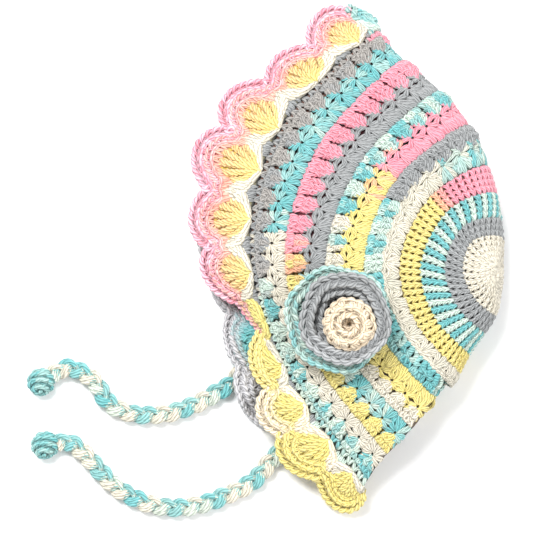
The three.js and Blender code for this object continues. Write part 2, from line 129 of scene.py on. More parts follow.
# Shells of the edging: root on the front edge (0 near neck corner, 1 fold, 2 far neck corner), first
# valley, tip, and the yarn of its fan, its seam, its border and the strands down its sides
SHELL_COLUMNS = ("root", "valley", "tip", "fan", "seam", "border", "sides")
SHELLS = [dict(zip(SHELL_COLUMNS, row)) for row in [
    (0, (40, -94.5, 10), (30.5, -101.5, 3.2), "yellow", "yellow", "yellow", "cream"),
    (0.06, (21, -88, 10), (7, -82.5, 10.6), "yellow", "yellow", "yellow", "ivory"),
    (0.135, (5.5, -71, 11), (-4, -61.5, 12), "yellow", "yellow", "ivory", "ivory"),
    (0.21, (2, -52, 14), (-7, -40, 15), "yellow", "yellow", "lemon", "cream"),
    (0.295, (-2, -27, 15.5), (-8, -19, 12), "yellow", "yellow", "pink", "yellow"),
    (0.385, (-14, -13, 13), (-26.5, -3.5, 14), "yellow", "peach", "pink", "cream"),
    (0.494, (-24, 8, 18), (-32.5, 19.5, 16), "yellow", "peach", "pink", "cream"),
    (0.6, (-25, 32, 19), (-30.5, 51, 16), "yellow", "peach", "pink", "cream"),
    (0.69, (-15, 57, 18), (-18, 73, 15), "yellow", "peach", "pink", "cream"),
    (0.782, (0, 78, 17), (5, 91, 14), "yellow", "peach", "pink", "cream"),
    (0.887, (18.5, 92, 15), (20.5, 108, 13), "yellow", "peach", "pink", "cream"),
    (0.95, (34, 109.5, 15), (36, 112.5, 12), "mint", "teal", "mint", "mint"),
    (1.05, (46.5, 108, 6), (36, 109, 3), "teal", "mint", "teal", "mint"),
    (1.14, (29, 102, 1), (21, 100, 0), "teal", "mint", "silver", "mint"),
    (1.225, (14, 90, 0), (2, 85, 0), "teal", "teal", "silver", "mint"),
    (1.31, (-3, 74, 0), (-15, 67, 0), "teal", "teal", "silver", "teal"),
    (1.395, (-17, 53, 0), (-26, 43, 0), "teal", "teal", "silver", "teal"),
    (1.475, (-24, 28, 0), (-29, 14, 0), "teal", "silver", "silver", "silver"),
    (1.56, (-23, 1, 0), (-23, -8, 0), "teal", "silver", "silver", "teal"),
    (1.645, (-15, -17, 0), (-16.5, -28, 0), "teal", "teal", "silver", "teal"),
    (1.735, (-11, -40, 0), (-12, -54, 0), "silver", "silver", "silver", "teal"),
    (1.825, (-1, -66, 0), (7, -67, 0), "yellow", "yellow", "yellow", "cream"),
    (1.905, (16, -70, 0), (22, -82, 0), "yellow", "yellow", "yellow", "cream"),
]]
SHELLS_END = {"root": 2, "valley": (36, -86, 0)}
EDGE_GAP = 0.4
EDGE_STEP = 0.03  # step along the edge by which its direction is measured
FAN = {"posts": 8, "share": 0.7, "turn": 1.4, "half": 0.66, "middle": 0.3, "half_depth": 0.3}
FAN_SHARE = 0.6  # share of a shell's depth that its fan takes
VALLEY = {"around": 0.97, "out": 0.62}  # where a fan's seam ends at each side of its shell
# The edging's ground is its yarns darkened as painted shade: most at the shells' roots, a little elsewhere.
EDGE_GROUND = {"out": 0.97, "thick": 1.7, "root_shade": 0.62, "shade": 0.92}
SHELL_FILLS = [(-0.97, 0.42), (-0.86, 0.3), (-0.72, 0.18), (0.72, 0.18), (0.86, 0.3), (0.97, 0.42)]
RIM_CHAIN = 2.4  # the middle of the rim's chain lies this far inside the rim

# Flower: layers with the radius and top of each section, from the middle out
FLOWER = {"row": 7.7, "side": 0.33, "stand": 0.8, "turn": 0.3, "chain_start": 2.4}
FLOWER_LAYERS = [
    {"name": "flower_outer_petals", "shift": (0, 0), "petals": 6, "scallop": 1.6, "wave": 0.9,
     "section": [(0, 0, 2.6), (11.5, 0.5, 3.1), (17.4, 3.0, 5.4), (20.3, 4.4, 6.3)]},
    {"name": "flower_middle_petals", "shift": (3.6, 0.3), "petals": 5, "scallop": 1.2, "wave": 0.5,
     "section": [(0, 3.2, 6.2), (8.7, 4.1, 6.6), (12.0, 5.7, 7.3), (14.0, 7.0, 10.8), (15.8, 7.9, 10.4),
                 (17.8, 8.6, 11.4)]},
    {"name": "flower_centre", "shift": (5.6, -1.8), "petals": 6, "scallop": 0.5, "wave": 0.2,
     "section": [(0, 6.7, 12.0), (3.2, 6.8, 12.4), (5.9, 7.0, 15.2), (8.3, 7.6, 14.6), (9.6, 9.0, 12.2)]},
]

# Yarn colours, as screen colours
PALETTE = {
    "cream": (230, 222, 202), "oat": (219, 214, 194), "ivory": (252, 236, 205),
    "warm_cream": (243, 222, 190), "grey": (151, 154, 155), "pale_grey": (172, 175, 177),
    "silver": (204, 203, 206), "warm_grey": (164, 159, 153), "teal": (92, 188, 190),
    "mint": (206, 226, 212), "yellow": (243, 224, 122), "lemon": (249, 230, 140),
    "pink": (250, 150, 170), "rose": (255, 202, 218), "peach": (252, 182, 140),
}


def linear(name):
    """A palette colour as linear red, green and blue."""
    share = np.array(PALETTE[name]) / 255
    return np.where(share <= 0.04045, share / 12.92, ((share + 0.055) / 1.055) ** 2.4)


# Colour bands of the rows along the near side, from the neck (0) to the fold (1): at each stop, the yarn, a
# second yarn, and the share of strands that the second one takes. The far side repeats them.
BANDS = {
    1: [(0, "cream", "cream", 0)],
    2: [(0, "grey", "grey", 0)],
    3: [(0, "teal", "mint", 0)],
    4: [(0, "yellow", "yellow", 0), (0.73, "yellow", "peach", 0), (0.78, "yellow", "peach", 0.9),
        (0.785, "peach", "pink", 0.3), (0.81, "peach", "pink", 1)],
    5: [(0, "oat", "cream", 0.4), (0.78, "oat", "teal", 0.3), (0.86, "mint", "teal", 0.5)],
    6: [(0, "teal", "mint", 0.25), (0.25, "teal", "mint", 0.35), (0.5, "teal", "mint", 0.55),
        (0.66, "teal", "mint", 0.5), (0.68, "grey", "grey", 0)],
    7: [(0, "yellow", "yellow", 0), (0.62, "yellow", "peach", 0), (0.72, "yellow", "peach", 0.6),
        (0.74, "peach", "pink", 0.5), (0.83, "peach", "pink", 1)],
    8: [(0, "cream", "cream", 0), (0.4, "cream", "mint", 0.1), (0.52, "cream", "teal", 0.15),
        (0.6, "mint", "teal", 0.45), (1, "mint", "teal", 0.5)],
    9: [(0, "mint", "teal", 0.5), (0.44, "mint", "teal", 0.5), (0.46, "grey", "grey", 0)],
    10: [(0, "yellow", "yellow", 0), (0.4, "yellow", "peach", 0), (0.46, "yellow", "peach", 0.8),
         (0.5, "peach", "pink", 0.5), (0.53, "peach", "pink", 1)],
    11: [(0, "cream", "cream", 0), (0.47, "cream", "mint", 0), (0.52, "cream", "teal", 0.5),
         (0.55, "mint", "teal", 0.95), (1, "mint", "teal", 0.95)],
    12: [(0, "mint", "teal", 0.45), (0.35, "mint", "teal", 0.25), (0.38, "mint", "grey", 0.5),
         (0.42, "grey", "warm_grey", 0.4), (0.952, "grey", "warm_grey", 0.932), (0.952, "pink", "pink", 0)],
    13: [(0, "mint", "teal", 0.3), (0.35, "mint", "teal", 0.2), (0.38, "cream", "grey", 0.6),
         (0.5, "cream", "grey", 0.85), (0.56, "grey", "warm_grey", 0.4),
         (0.945, "grey", "warm_grey", 0.943), (0.945, "pink", "pink", 0)],
}
COLOUR_RUNS = 9  # runs of a two-tone yarn's colours along the near side
STAR_TINTS = {5: "cream", 11: "mint"}  # paler yarn on one side of these rows' stars

# Painted shade of the ground: its linear colour near the top of the last rows, where the inside's pink yarn
# shows dark red-brown through the holes, and its share of the yarn's colour elsewhere
SHADED_INSIDE_GROUND = {"row": 11.4, "near": 0.45, "colour": (0.2, 0.09, 0.06)}
GROUND_SHADES = {"far": (0.75, 0.75, 0.75), "last_round": (0.6, 0.52, 0.42), "near": (0.36, 0.31, 0.3)}

LIGHTS = [
    {"name": "Key", "place": (-0.36, 0.4, 1.05), "aim": (-0.03, 0, 0.01), "size": 0.5, "power": 15.0},
    {"name": "Fill", "place": (0.8, -0.3, 0.9), "aim": (0, 0, 0.01), "size": 0.8, "power": 8.0},
]
SKY = 0.58  # strength of the studio's even light
TABLE_HALF = 3.0


def mirrored(side):
    """The place on the near side that a side of the cloth repeats."""
    return min(side, 2 - side)


def stop_at(row, near):
    """Number of the colour stop that covers a place on a row."""
    return max(i for i, stop in enumerate(BANDS[row]) if i == 0 or stop[0] <= near)


def yarn_at(row, side):
    """Picks the yarn of a strand on a row: its linear colour, by the row's bands."""
    near = mirrored(side)
    index = stop_at(row, near)
    start, first, second, share = BANDS[row][index]
    if index + 1 < len(BANDS[row]):
        after = BANDS[row][index + 1]
        t = min(1, max(0, (near - start) / (after[0] - start)))
        share = share * (1 - t) + after[3] * t if after[1:3] == (first, second) else share
    if 0 < share < 1:
        wave = 0.5 * math.sin(2 * math.pi * COLOUR_RUNS * near + row * 2.1)
        share = min(1, max(0, 0.5 + 1.7 * (share - 0.5 + 0.6 * wave + RNG.uniform(-0.42, 0.42))))
    return blend(first, second, share)


def blend(first, second, share):
    """A yarn's colour between two of the palette's."""
    return shade(linear(first) * (1 - share) + linear(second) * share)


def shade(colour, spread=0.05):
    """A colour a little lighter or darker, as neighbouring stitches of one yarn are."""
    return colour * (1 + RNG.uniform(-spread, spread))


def through(a, b, c, d, t):
    """Smooth curve through four neighbouring points, t from the second to the third."""
    return b + 0.5 * t * (c - a + t * (2 * a - 5 * b + 4 * c - d + t * (3 * (b - c) + d - a)))


def unit(v):
    return v / np.maximum(np.linalg.norm(v, axis=-1, keepdims=True), 1e-9)


def matched(*values):
    """Numbers and arrays as float arrays of one length."""
    return np.broadcast_arrays(*(np.atleast_1d(v).astype(float) for v in values))


def walked_along(line):
    """The way walked along a line to each of its points."""
    return np.concatenate([[0], np.cumsum(np.linalg.norm(np.diff(line, axis=0), axis=1))])


def smooth_line(points, count):
    """A smooth line of count points through a short list of points."""
    p = np.asarray(points, float)
    ends = np.vstack([2 * p[0] - p[1], p, 2 * p[-1] - p[-2]])
    s = np.linspace(0, len(p) - 1, count)
    i = np.minimum(s.astype(int), len(p) - 2)
    t = (s - i)[:, None]
    return through(ends[i], ends[i + 1], ends[i + 2], ends[i + 3], t)


# The cloth's outer face

def height_on_line(line, s, x, y):
    """Height of a row line, rounded over the fold like a quarter of an ellipse."""
    near, far = np.array(line["near"], float), np.array(line["far"], float)
    closed = len(far) == 3
    fold = np.where((closed & ((s < 2) | (s > 6)))[:, None], near[0], near[4])
    low, high = near[1, 2], near[3, 2]
    up = [low - FOLD["drop"] if closed else near[0, 2], low, near[2, 2], high, high - FOLD["drop"]]
    down = [far[0, 2], far[0, 2], far[1, 2], far[2, 2], far[-1, 2]]
    on_near = s <= 4
    t = np.where(on_near, s, s - 4)
    i = np.minimum(t.astype(int), 3)
    levels = np.where(on_near[:, None], np.array(up), np.array(down))
    pick = lambda k: np.take_along_axis(levels, np.clip(k, 0, 4)[:, None], 1)[:, 0]
    side = through(pick(i - 1), pick(i), pick(i + 1), pick(i + 2), t - i)
    away = np.minimum(np.hypot(x - fold[:, 0], y - fold[:, 1]) / FOLD["reach"], 1)
    return fold[:, 2] + (side - fold[:, 2]) * np.sqrt(1 - (1 - away) ** 2)


def on_line(line, side):
    """Points of one row line; side runs from 0 (near neck) over 1 (fold) to 2 (far neck)."""
    stations = np.array(line["near"] + line["far"], float)
    if len(line["far"]) == 3:
        s = (side * 4) % 8
        i = np.minimum(s.astype(int), 7)
        a, b, c, d = (stations[(i + k) % 8] for k in (-1, 0, 1, 2))
    else:
        s = np.clip(side, 0, 2) * 4
        i = np.minimum(s.astype(int), 7)
        ends = np.vstack([2 * stations[0] - stations[1], stations, 2 * stations[-1] - stations[-2]])
        a, b, c, d = (ends[i + k] for k in (0, 1, 2, 3))
    p = through(a, b, c, d, (s - i)[:, None])
    p[:, 2] = height_on_line(line, s, p[:, 0], p[:, 1])
    return p


def neck_inset(row):
    """How far inside the neck corners a row starts and ends."""
    return NECK_INSET["size"] * max(0, 1 - (row - SEAM_ROW) / NECK_INSET["rows"]) if row > SEAM_ROW else 0


class Cloth:
    """The bonnet's outer face as a fine grid of rows and sides, with each row measured along its length."""

    ROWS_PER_ROW = 10
    COLUMNS = 640
    LAST = 14
    EVENED = 12  # columns to each side over which the facing is evened

    def __init__(self):
        side = np.linspace(0, 2, self.COLUMNS + 1)
        lines = [on_line(line, side) for line in ROW_LINES]
        centre = np.tile(np.array(CENTRE, float), (len(side), 1))
        before = on_line(ROW_LINES[0], (side + 1) % 2)
        beyond = 2 * lines[-1] - lines[-2]
        further = 2 * beyond - lines[-1]
        lines = [before, centre, *lines, beyond, further]
        grid = []
        for row in np.arange(self.LAST * self.ROWS_PER_ROW + 1) / self.ROWS_PER_ROW:
            t = row if row < 1 else (row + 1) / 2
            i = min(int(t), len(ROW_LINES))
            grid.append(through(lines[i], lines[i + 1], lines[i + 2], lines[i + 3], t - i))
        self.points = np.array(grid)
        self.normals = unit(np.cross(np.gradient(self.points, axis=1), np.gradient(self.points, axis=0)))
        self.normals[:2] = unit(self.normals[3].mean(axis=0))
        near = range(-self.EVENED, self.EVENED + 1)
        evened = unit(sum(np.roll(self.normals, step, axis=1) for step in near))
        clear = slice(self.EVENED + 4, -self.EVENED - 4)
        self.normals[:, clear] = evened[:, clear]
        self.sides = np.zeros((len(grid), self.COLUMNS + 1))
        self.lengths = np.zeros(len(grid))
        for k, line in enumerate(self.points):
            row = k / self.ROWS_PER_ROW
            inset = neck_inset(row)
            walked = walked_along(line)
            ends = np.interp([inset, 2 - inset], side, walked)
            self.sides[k] = np.interp(np.linspace(*ends, self.COLUMNS + 1), walked, side)
            self.lengths[k] = max(ends[1] - ends[0], 1)

    def _blend(self, grid, row, column):
        r = np.clip(row * self.ROWS_PER_ROW, 0, len(grid) - 1.001)
        c = np.clip(column * self.COLUMNS, 0, self.COLUMNS - 0.001)
        i, j = r.astype(int), c.astype(int)
        u, v = r - i, c - j
        if grid.ndim == 3:
            u, v = u[:, None], v[:, None]
        top = grid[i, j] * (1 - v) + grid[i, j + 1] * v
        return top * (1 - u) + (grid[i + 1, j] * (1 - v) + grid[i + 1, j + 1] * v) * u

    def side_at(self, row, place):
        """The side of a place, which runs evenly along a row from 0 to 1."""
        row, place = matched(row, place)
        closed = row <= SEAM_ROW
        return self._blend(self.sides, row, np.where(closed, place % 1.0, place))

    def length(self, row):
        return np.interp(row, np.arange(len(self.lengths)) / self.ROWS_PER_ROW, self.lengths)

    def at_side(self, row, side, height):
        """Points at a height above the outer face, resting on the table and over the far tie."""
        row, side = matched(row, side)
        p = self._blend(self.points, row, side / 2)
        n = unit(self._blend(self.normals, row, side / 2))
        p = rested(p, (side > FAR_SIDE[0]) & (side < FAR_SIDE[1]))
        return p + n * np.reshape(height, (-1, 1)), n

    def at(self, row, place, height):
        return self.at_side(row, self.side_at(row, place), height)[0]


def rested(p, far):
    """Points kept above the table, and on the far side over the tie that lies beneath."""
    route = np.array(FAR_TIE_ROUTE[:4]) / MM
    best = np.full(len(p), np.inf)
    for a, b in zip(route[:-1], route[1:]):
        t = np.clip(((p[:, :2] - a) @ (b - a)) / ((b - a) @ (b - a)), 0, 1)
        best = np.minimum(best, np.linalg.norm(p[:, :2] - a - t[:, None] * (b - a), axis=1))
    s = np.clip((best - ARCH["flat"]) / (ARCH["reach"] - ARCH["flat"]), 0, 1)
    over = np.where(far, ARCH["lift"] * (1 - s * s * (3 - 2 * s)), 0)
    q = p.copy()
    q[:, 2] = np.maximum(np.maximum(p[:, 2], over), 0)
    return q


# Yarn

class Skein:
    """The strands of one piece: centre lines in millimetres, with a radius and a colour at each point."""

    def __init__(self):
        self.strands = []

    def strand(self, points, radius, colour, colour_end=None):
        """A strand of one radius, or one for each point; its colour may change towards its end."""
        p = np.array(points, float)
        r = np.broadcast_to(np.asarray(radius, float), len(p)).copy()
        p[:, 2] = np.maximum(p[:, 2], r * 0.9)
        t = np.linspace(0, 1, len(p))[:, None]
        end = colour if colour_end is None else colour_end
        self.strands.append((p, r, colour * (1 - t) + end * t))

    def loop(self, at, foot, head, colour, radius=YARN["radius"], rise=0.9, sink=-1.0, bow=0.0, count=7,
             slim=0.7):
        """One visible loop, thickest and highest in the middle, its slimmer ends tucked in."""
        place, _ = between(foot, head)
        t = np.linspace(0, 1, count)
        hump = np.sin(np.pi * t)
        points = at(*place(t, bow * hump), sink + (rise - sink) * hump ** 0.6)
        self.strand(points, radius * (slim + (1 - slim) * hump), colour)

    def petal(self, at, foot, tip, colour, half=0.6, radius=0.64, rise=0.5, sink=-0.9, count=11):
        """A long loop from an eye and back: two strands side by side that meet round the tip."""
        place, _ = between(foot, tip)
        s = np.linspace(0, 1, count)
        out = np.sin(np.pi * s) ** 0.9
        swing = np.sin(2 * np.pi * s)
        across = half * np.sign(swing) * np.abs(swing) ** 0.6 * (0.3 + 0.7 * out)
        height = sink + (rise - sink) * np.sin(np.pi * (0.1 + 0.78 * out)) ** 0.6
        self.strand(at(*place(out, across), height), radius, colour)

    def post(self, at, foot, head, colour, spread=0.68, taper=0.75, rise=0.15, radius=YARN["radius"],
             phase=0.0, bow=0.0, colour_end=None):
        """A stitch's stem: two strands twisted round each other from foot to head."""
        place, size = between(foot, head)
        turns = size / YARN["turn"]
        t = np.linspace(0, 1, max(5, int(turns * 7.5) + 2))
        wide = spread * (taper + (1 - taper) * t)
        ends = np.minimum(np.minimum(t, 1 - t) * 7, 1)
        for turn in (0, np.pi):
            a = 2 * np.pi * turns * t + turn + phase
            height = rise - 0.8 * (1 - ends) + 0.55 * np.sin(a) * ends
            end = None if colour_end is None else shade(colour_end, 0.03)
            points = at(*place(t, wide * np.cos(a) + bow * size * np.sin(np.pi * t)), height)
            self.strand(points, radius * (0.85 + 0.15 * ends), shade(colour, 0.03), end)

    def braid(self, at, foot, head, colour, wide, narrow):
        """A stitch's stem as it looks from the front: nested Vs that open towards its head."""
        place, size = between(foot, head)
        links = max(2, round(size / BRAID["pitch"]))
        for k in range(links):
            low, high = (k - 0.3) / links, (k + 1.15) / links
            spread = wide * (narrow + (1 - narrow) * min(high, 1))
            for turn in (-1, 1):
                self.loop(at, place(low, turn * 0.1 * spread), place(high, turn * 0.42 * spread),
                          shade(colour), BRAID["radius"], BRAID["rise"], BRAID["sink"],
                          bow=-turn * 0.2 * spread, count=5, slim=0.5)

    def vee(self, at, foot, wide, deep, colour, rise=0.5, radius=YARN["radius"], bow=0.3, sink=-0.7):
        """The V of two loops on top of a stitch, its point at the foot."""
        for turn in (-1, 1):
            self.loop(at, (foot[0] + turn * 0.25, foot[1]), (foot[0] + turn * wide, foot[1] + deep),
                      shade(colour, 0.03), rise=rise, sink=sink, bow=-turn * bow, radius=radius, count=5)


def between(foot, head):
    """Lays shares of the way from foot to head, and millimetres across it."""
    du, dv = head[0] - foot[0], head[1] - foot[1]
    size = max(math.hypot(du, dv), 1e-6)

    def place(share, across):
        return foot[0] + du * share - dv / size * across, foot[1] + dv * share + du / size * across

    return place, size


def patch(row, place):
    """Lays local millimetres on the cloth round a point: u along the row, v towards the front edge."""
    def at(u, v, height):
        rows = np.clip(row + np.asarray(v, float) / per_row, 0.05, Cloth.LAST - 0.1)
        return CLOTH.at(rows, place + np.asarray(u, float) / CLOTH.length(rows), height - STITCH_SINK)

    ahead = 0.4
    ends = CLOTH.at([row, row + ahead], place, 0)
    per_row = max(np.linalg.norm(ends[1] - ends[0]) / ahead, 1.0)
    return at, per_row


def each_stitch(start, end, count, line):
    """For each stitch of a row: its number, side, width, depth and patch; its width is the one at line."""
    for k in range(count):
        place = (k + 0.5) / count
        side = float(CLOTH.side_at(line, place)[0])
        at, per_row = patch(start, place)
        yield k, side, CLOTH.length(line) / count, abs(end - start) * per_row, at


class Ribbon:
    """A path with a facing: lays millimetres along, across and above it."""

    def __init__(self, points, facing):
        self.points = np.asarray(points, float)
        self.walked = walked_along(self.points)
        self.size = self.walked[-1]
        self.way = unit(np.gradient(self.points, axis=0))
        self.up = unit(facing - self.way * np.sum(facing * self.way, axis=1, keepdims=True))
        self.left = np.cross(self.up, self.way)

    def _along(self, values, s):
        return np.stack([np.interp(s, self.walked, values[:, k]) for k in range(3)], axis=1)

    def at(self, along, across, height):
        s, across, height = matched(along, across, height)
        over = np.clip(s - self.size, 0, None) + np.clip(s, None, 0)
        base = self._along(self.points, s) + self._along(self.way, s) * over[:, None]
        base = base + self._along(self.left, s) * across[:, None]
        return base + self._along(self.up, s) * height[:, None]


def chain(skein, ribbon, pitch, width, colour_at, rise=0.9, radius=0.85):
    """A crochet chain along a ribbon: nested V shapes, each of two loops that open forwards."""
    links = max(2, round(ribbon.size / pitch))
    pitch = ribbon.size / links
    core = np.linspace(0, ribbon.size, 2 * links + 1)
    # The core strand under the links is darkened: painted shade in the chain's middle.
    skein.strand(ribbon.at(core, 0, -0.6), radius, colour_at(0.5) * 0.6)
    for k in range(links):
        s = (k - 0.15) * pitch
        for turn in (-1, 1):
            skein.loop(lambda u, v, h: ribbon.at(v, u, h), (turn * 0.1 * width, s),
                       (turn * 0.42 * width, s + 1.35 * pitch), colour_at((k + 0.5) / links),
                       radius=radius * 1.15, rise=rise, sink=-0.5, bow=-turn * 0.22 * width, slim=0.45)


# Geometry Nodes: strands into yarn

def strand_tree():
    """Sweeps each chain of edges into a closed tube of yarn, and keeps the way round it as an attribute."""
    tree = bpy.data.node_groups.new("Sweep strands", "GeometryNodeTree")
    inputs = (("Geometry", "Geometry", None), ("Sides round a strand", "Int", YARN["sides"]),
              ("Thickness", "Float", 1.0), ("Yarn", "Material", None))
    for name, kind, default in inputs:
        socket = tree.interface.new_socket(name, in_out="INPUT", socket_type="NodeSocket" + kind)
        if default is not None:
            socket.default_value = default
    tree.interface.new_socket("Geometry", in_out="OUTPUT", socket_type="NodeSocketGeometry")
    kinds = {
        "start": "NodeGroupInput", "finish": "NodeGroupOutput", "curves": "GeometryNodeMeshToCurve",
        "radius": "GeometryNodeInputNamedAttribute", "scaled": "ShaderNodeMath",
        "set radius": "GeometryNodeSetCurveRadius", "ring": "GeometryNodeCurvePrimitiveCircle",
        "where": "GeometryNodeInputPosition", "keep": "GeometryNodeStoreNamedAttribute",
        "sweep": "GeometryNodeCurveToMesh", "smooth": "GeometryNodeSetShadeSmooth",
        "realize": "GeometryNodeRealizeInstances", "paint": "GeometryNodeSetMaterial",
    }
    nodes = {name: tree.nodes.new(kind) for name, kind in kinds.items()}
    nodes["radius"].data_type = "FLOAT"
    nodes["radius"].inputs["Name"].default_value = "strand_radius"
    nodes["scaled"].operation = "MULTIPLY"
    nodes["ring"].inputs["Radius"].default_value = 1.0
    nodes["keep"].data_type = "FLOAT_VECTOR"
    nodes["keep"].inputs["Name"].default_value = "ring"
    nodes["sweep"].inputs["Fill Caps"].default_value = True
    links = [
        ("start", "Geometry", "curves", "Mesh"), ("curves", "Curve", "set radius", "Curve"),
        ("radius", "Attribute", "scaled", 0), ("start", "Thickness", "scaled", 1),
        ("scaled", 0, "set radius", "Radius"), ("start", "Sides round a strand", "ring", "Resolution"),
        ("ring", "Curve", "keep", "Geometry"), ("where", "Position", "keep", "Value"),
        ("set radius", "Curve", "sweep", "Curve"), ("keep", "Geometry", "sweep", "Profile Curve"),
        ("sweep", "Mesh", "smooth", "Geometry"), ("smooth", "Geometry", "realize", "Geometry"),
        ("realize", "Geometry", "paint", "Geometry"), ("start", "Yarn", "paint", "Material"),
        ("paint", "Geometry", "finish", "Geometry"),
    ]
    if "Scale" in nodes["sweep"].inputs:
        links.append(("scaled", 0, "sweep", "Scale"))
    for source, output, target, entry in links:
        tree.links.new(nodes[source].outputs[output], nodes[target].inputs[entry])
    return tree


def socket_key(tree, name):
    """Identifier of a tree's input, by which its modifier is set."""
    return next(s.identifier for s in tree.interface.items_tree if s.name == name and s.in_out == "INPUT")


def add_object(name, data):
    """Makes an object and puts it in the scene."""
    made = bpy.data.objects.new(name, data)
    bpy.context.scene.collection.objects.link(made)
    return made


def add_attribute(mesh, name, values):
    """Gives the mesh a point attribute: a number, or red, green and blue, for each point."""
    if values.ndim == 2:
        full = np.concatenate([values, np.ones((len(values), 1))], axis=1)
        mesh.attributes.new(name, "FLOAT_COLOR", "POINT").data.foreach_set("color", full.ravel())
    else:
        mesh.attributes.new(name, "FLOAT", "POINT").data.foreach_set("value", values)


def spin_yarn(name, skein, material, sides=YARN["sides"]):
    """Turns a skein into one plain mesh piece of plied yarn."""
    points = np.concatenate([p for p, _, _ in skein.strands])
    radii = np.concatenate([r for _, r, _ in skein.strands])
    colours = np.concatenate([c for _, _, c in skein.strands])
    along, edges, start = [], [], 0
    for p, _, _ in skein.strands:
        along.append(walked_along(p) + RNG.uniform(0, 40))
        index = np.arange(start, start + len(p))
        edges.append(np.stack([index[:-1], index[1:]], axis=1))
        start += len(p)
    mesh = bpy.data.meshes.new(name)
    mesh.vertices.add(len(points))
    mesh.vertices.foreach_set("co", ((points - ORIGIN) * MM).ravel())
    pairs = np.concatenate(edges)
    mesh.edges.add(len(pairs))
    mesh.edges.foreach_set("vertices", pairs.ravel().astype(np.int32))
    add_attribute(mesh, "strand_radius", radii * MM)
    add_attribute(mesh, "along", np.concatenate(along))
    add_attribute(mesh, "yarn_colour", colours)
    piece = add_object(name, mesh)
    modifier = piece.modifiers.new("Sweep", "NODES")
    modifier.node_group = STRAND_TREE
    modifier[socket_key(STRAND_TREE, "Sides round a strand")] = sides
    modifier[socket_key(STRAND_TREE, "Yarn")] = material
    return plain_mesh(piece)


def plain_mesh(piece):
    """Puts the evaluated shape of a piece in place of its modifiers."""
    graph = bpy.context.evaluated_depsgraph_get()
    result = bpy.data.meshes.new_from_object(piece.evaluated_get(graph), preserve_all_data_layers=True,
                                             depsgraph=graph)
    old = piece.data
    piece.modifiers.clear()
    piece.data = result
    bpy.data.meshes.remove(old)
    result.name = piece.name
    return piece


# Materials

class Field:
    """A shader value: expressions on it add Math nodes."""

    def __init__(self, shader, socket):
        self.shader = shader
        self.socket = socket

    def _math(self, operation, *values):
        return self.shader.node("ShaderNodeMath", {"operation": operation}, dict(enumerate(values)))[0]

    def __add__(self, other):
        return self._math("ADD", self, other)

    def __radd__(self, other):
        return self._math("ADD", other, self)

    def __sub__(self, other):
        return self._math("SUBTRACT", self, other)

    def __rsub__(self, other):
        return self._math("SUBTRACT", other, self)

    def __mul__(self, other):
        return self._math("MULTIPLY", self, other)

    def __rmul__(self, other):
        return self._math("MULTIPLY", other, self)

    def __truediv__(self, other):
        return self._math("DIVIDE", self, other)

    def __pow__(self, other):
        return self._math("POWER", self, other)

    def sin(self):
        return self._math("SINE", self)

    def abs(self):
        return self._math("ABSOLUTE", self)

    def angle_to(self, other):
        return self._math("ARCTAN2", self, other)

    def clamp(self):
        return self.shader.node("ShaderNodeClamp", {}, {"Value": self})[0]


class Shader:
    """A material with its nodes."""

    def __init__(self, name):
        self.material = bpy.data.materials.new(name)
        self.material.use_nodes = True
        self.tree = self.material.node_tree
        self.tree.nodes.clear()
        out = self.tree.nodes.new("ShaderNodeOutputMaterial")
        self.surface = self.tree.nodes.new("ShaderNodeBsdfPrincipled")
        self.tree.links.new(self.surface.outputs[0], out.inputs["Surface"])

    def node(self, kind, settings, values):
        """Adds a node: its settings first, then a value or a link for each named or numbered socket."""
        made = self.tree.nodes.new(kind)
        for key, value in settings.items():
            setattr(made, key, value)
        for key, value in values.items():
            self.put(made.inputs[key], value)
        return [Field(self, socket) for socket in made.outputs if socket.enabled]

    def put(self, socket, value):
        if isinstance(value, Field):
            self.tree.links.new(value.socket, socket)
        else:
            socket.default_value = value

    def attribute(self, name, output):
        made = self.tree.nodes.new("ShaderNodeAttribute")
        made.attribute_name = name
        return Field(self, made.outputs[output])

    def parts(self, vector):
        return self.node("ShaderNodeSeparateXYZ", {}, {"Vector": vector})

    def vector(self, x, y, z):
        return self.node("ShaderNodeCombineXYZ", {}, {"X": x, "Y": y, "Z": z})[0]

    def object_place(self):
        return self.node("ShaderNodeTexCoord", {}, {})[3]

    def noise(self, vector, scale, detail):
        return self.node("ShaderNodeTexNoise", {}, {"Vector": vector, "Scale": scale, "Detail": detail})[0]

    def mix(self, a, b, share, blend_type="MIX"):
        made = self.tree.nodes.new("ShaderNodeMix")
        made.data_type = "RGBA"
        made.blend_type = blend_type
        self.put(made.inputs[0], share)
        self.put(made.inputs[6], a)
        self.put(made.inputs[7], b)
        return Field(self, made.outputs[2])

    def bump(self, height, distance, strength):
        values = {"Height": height, "Distance": distance, "Strength": strength}
        return self.node("ShaderNodeBump", {}, values)[0]

    def finish(self, **inputs):
        for name, value in inputs.items():
            self.put(self.surface.inputs[name.replace("_", " ")], value)
        return self.material


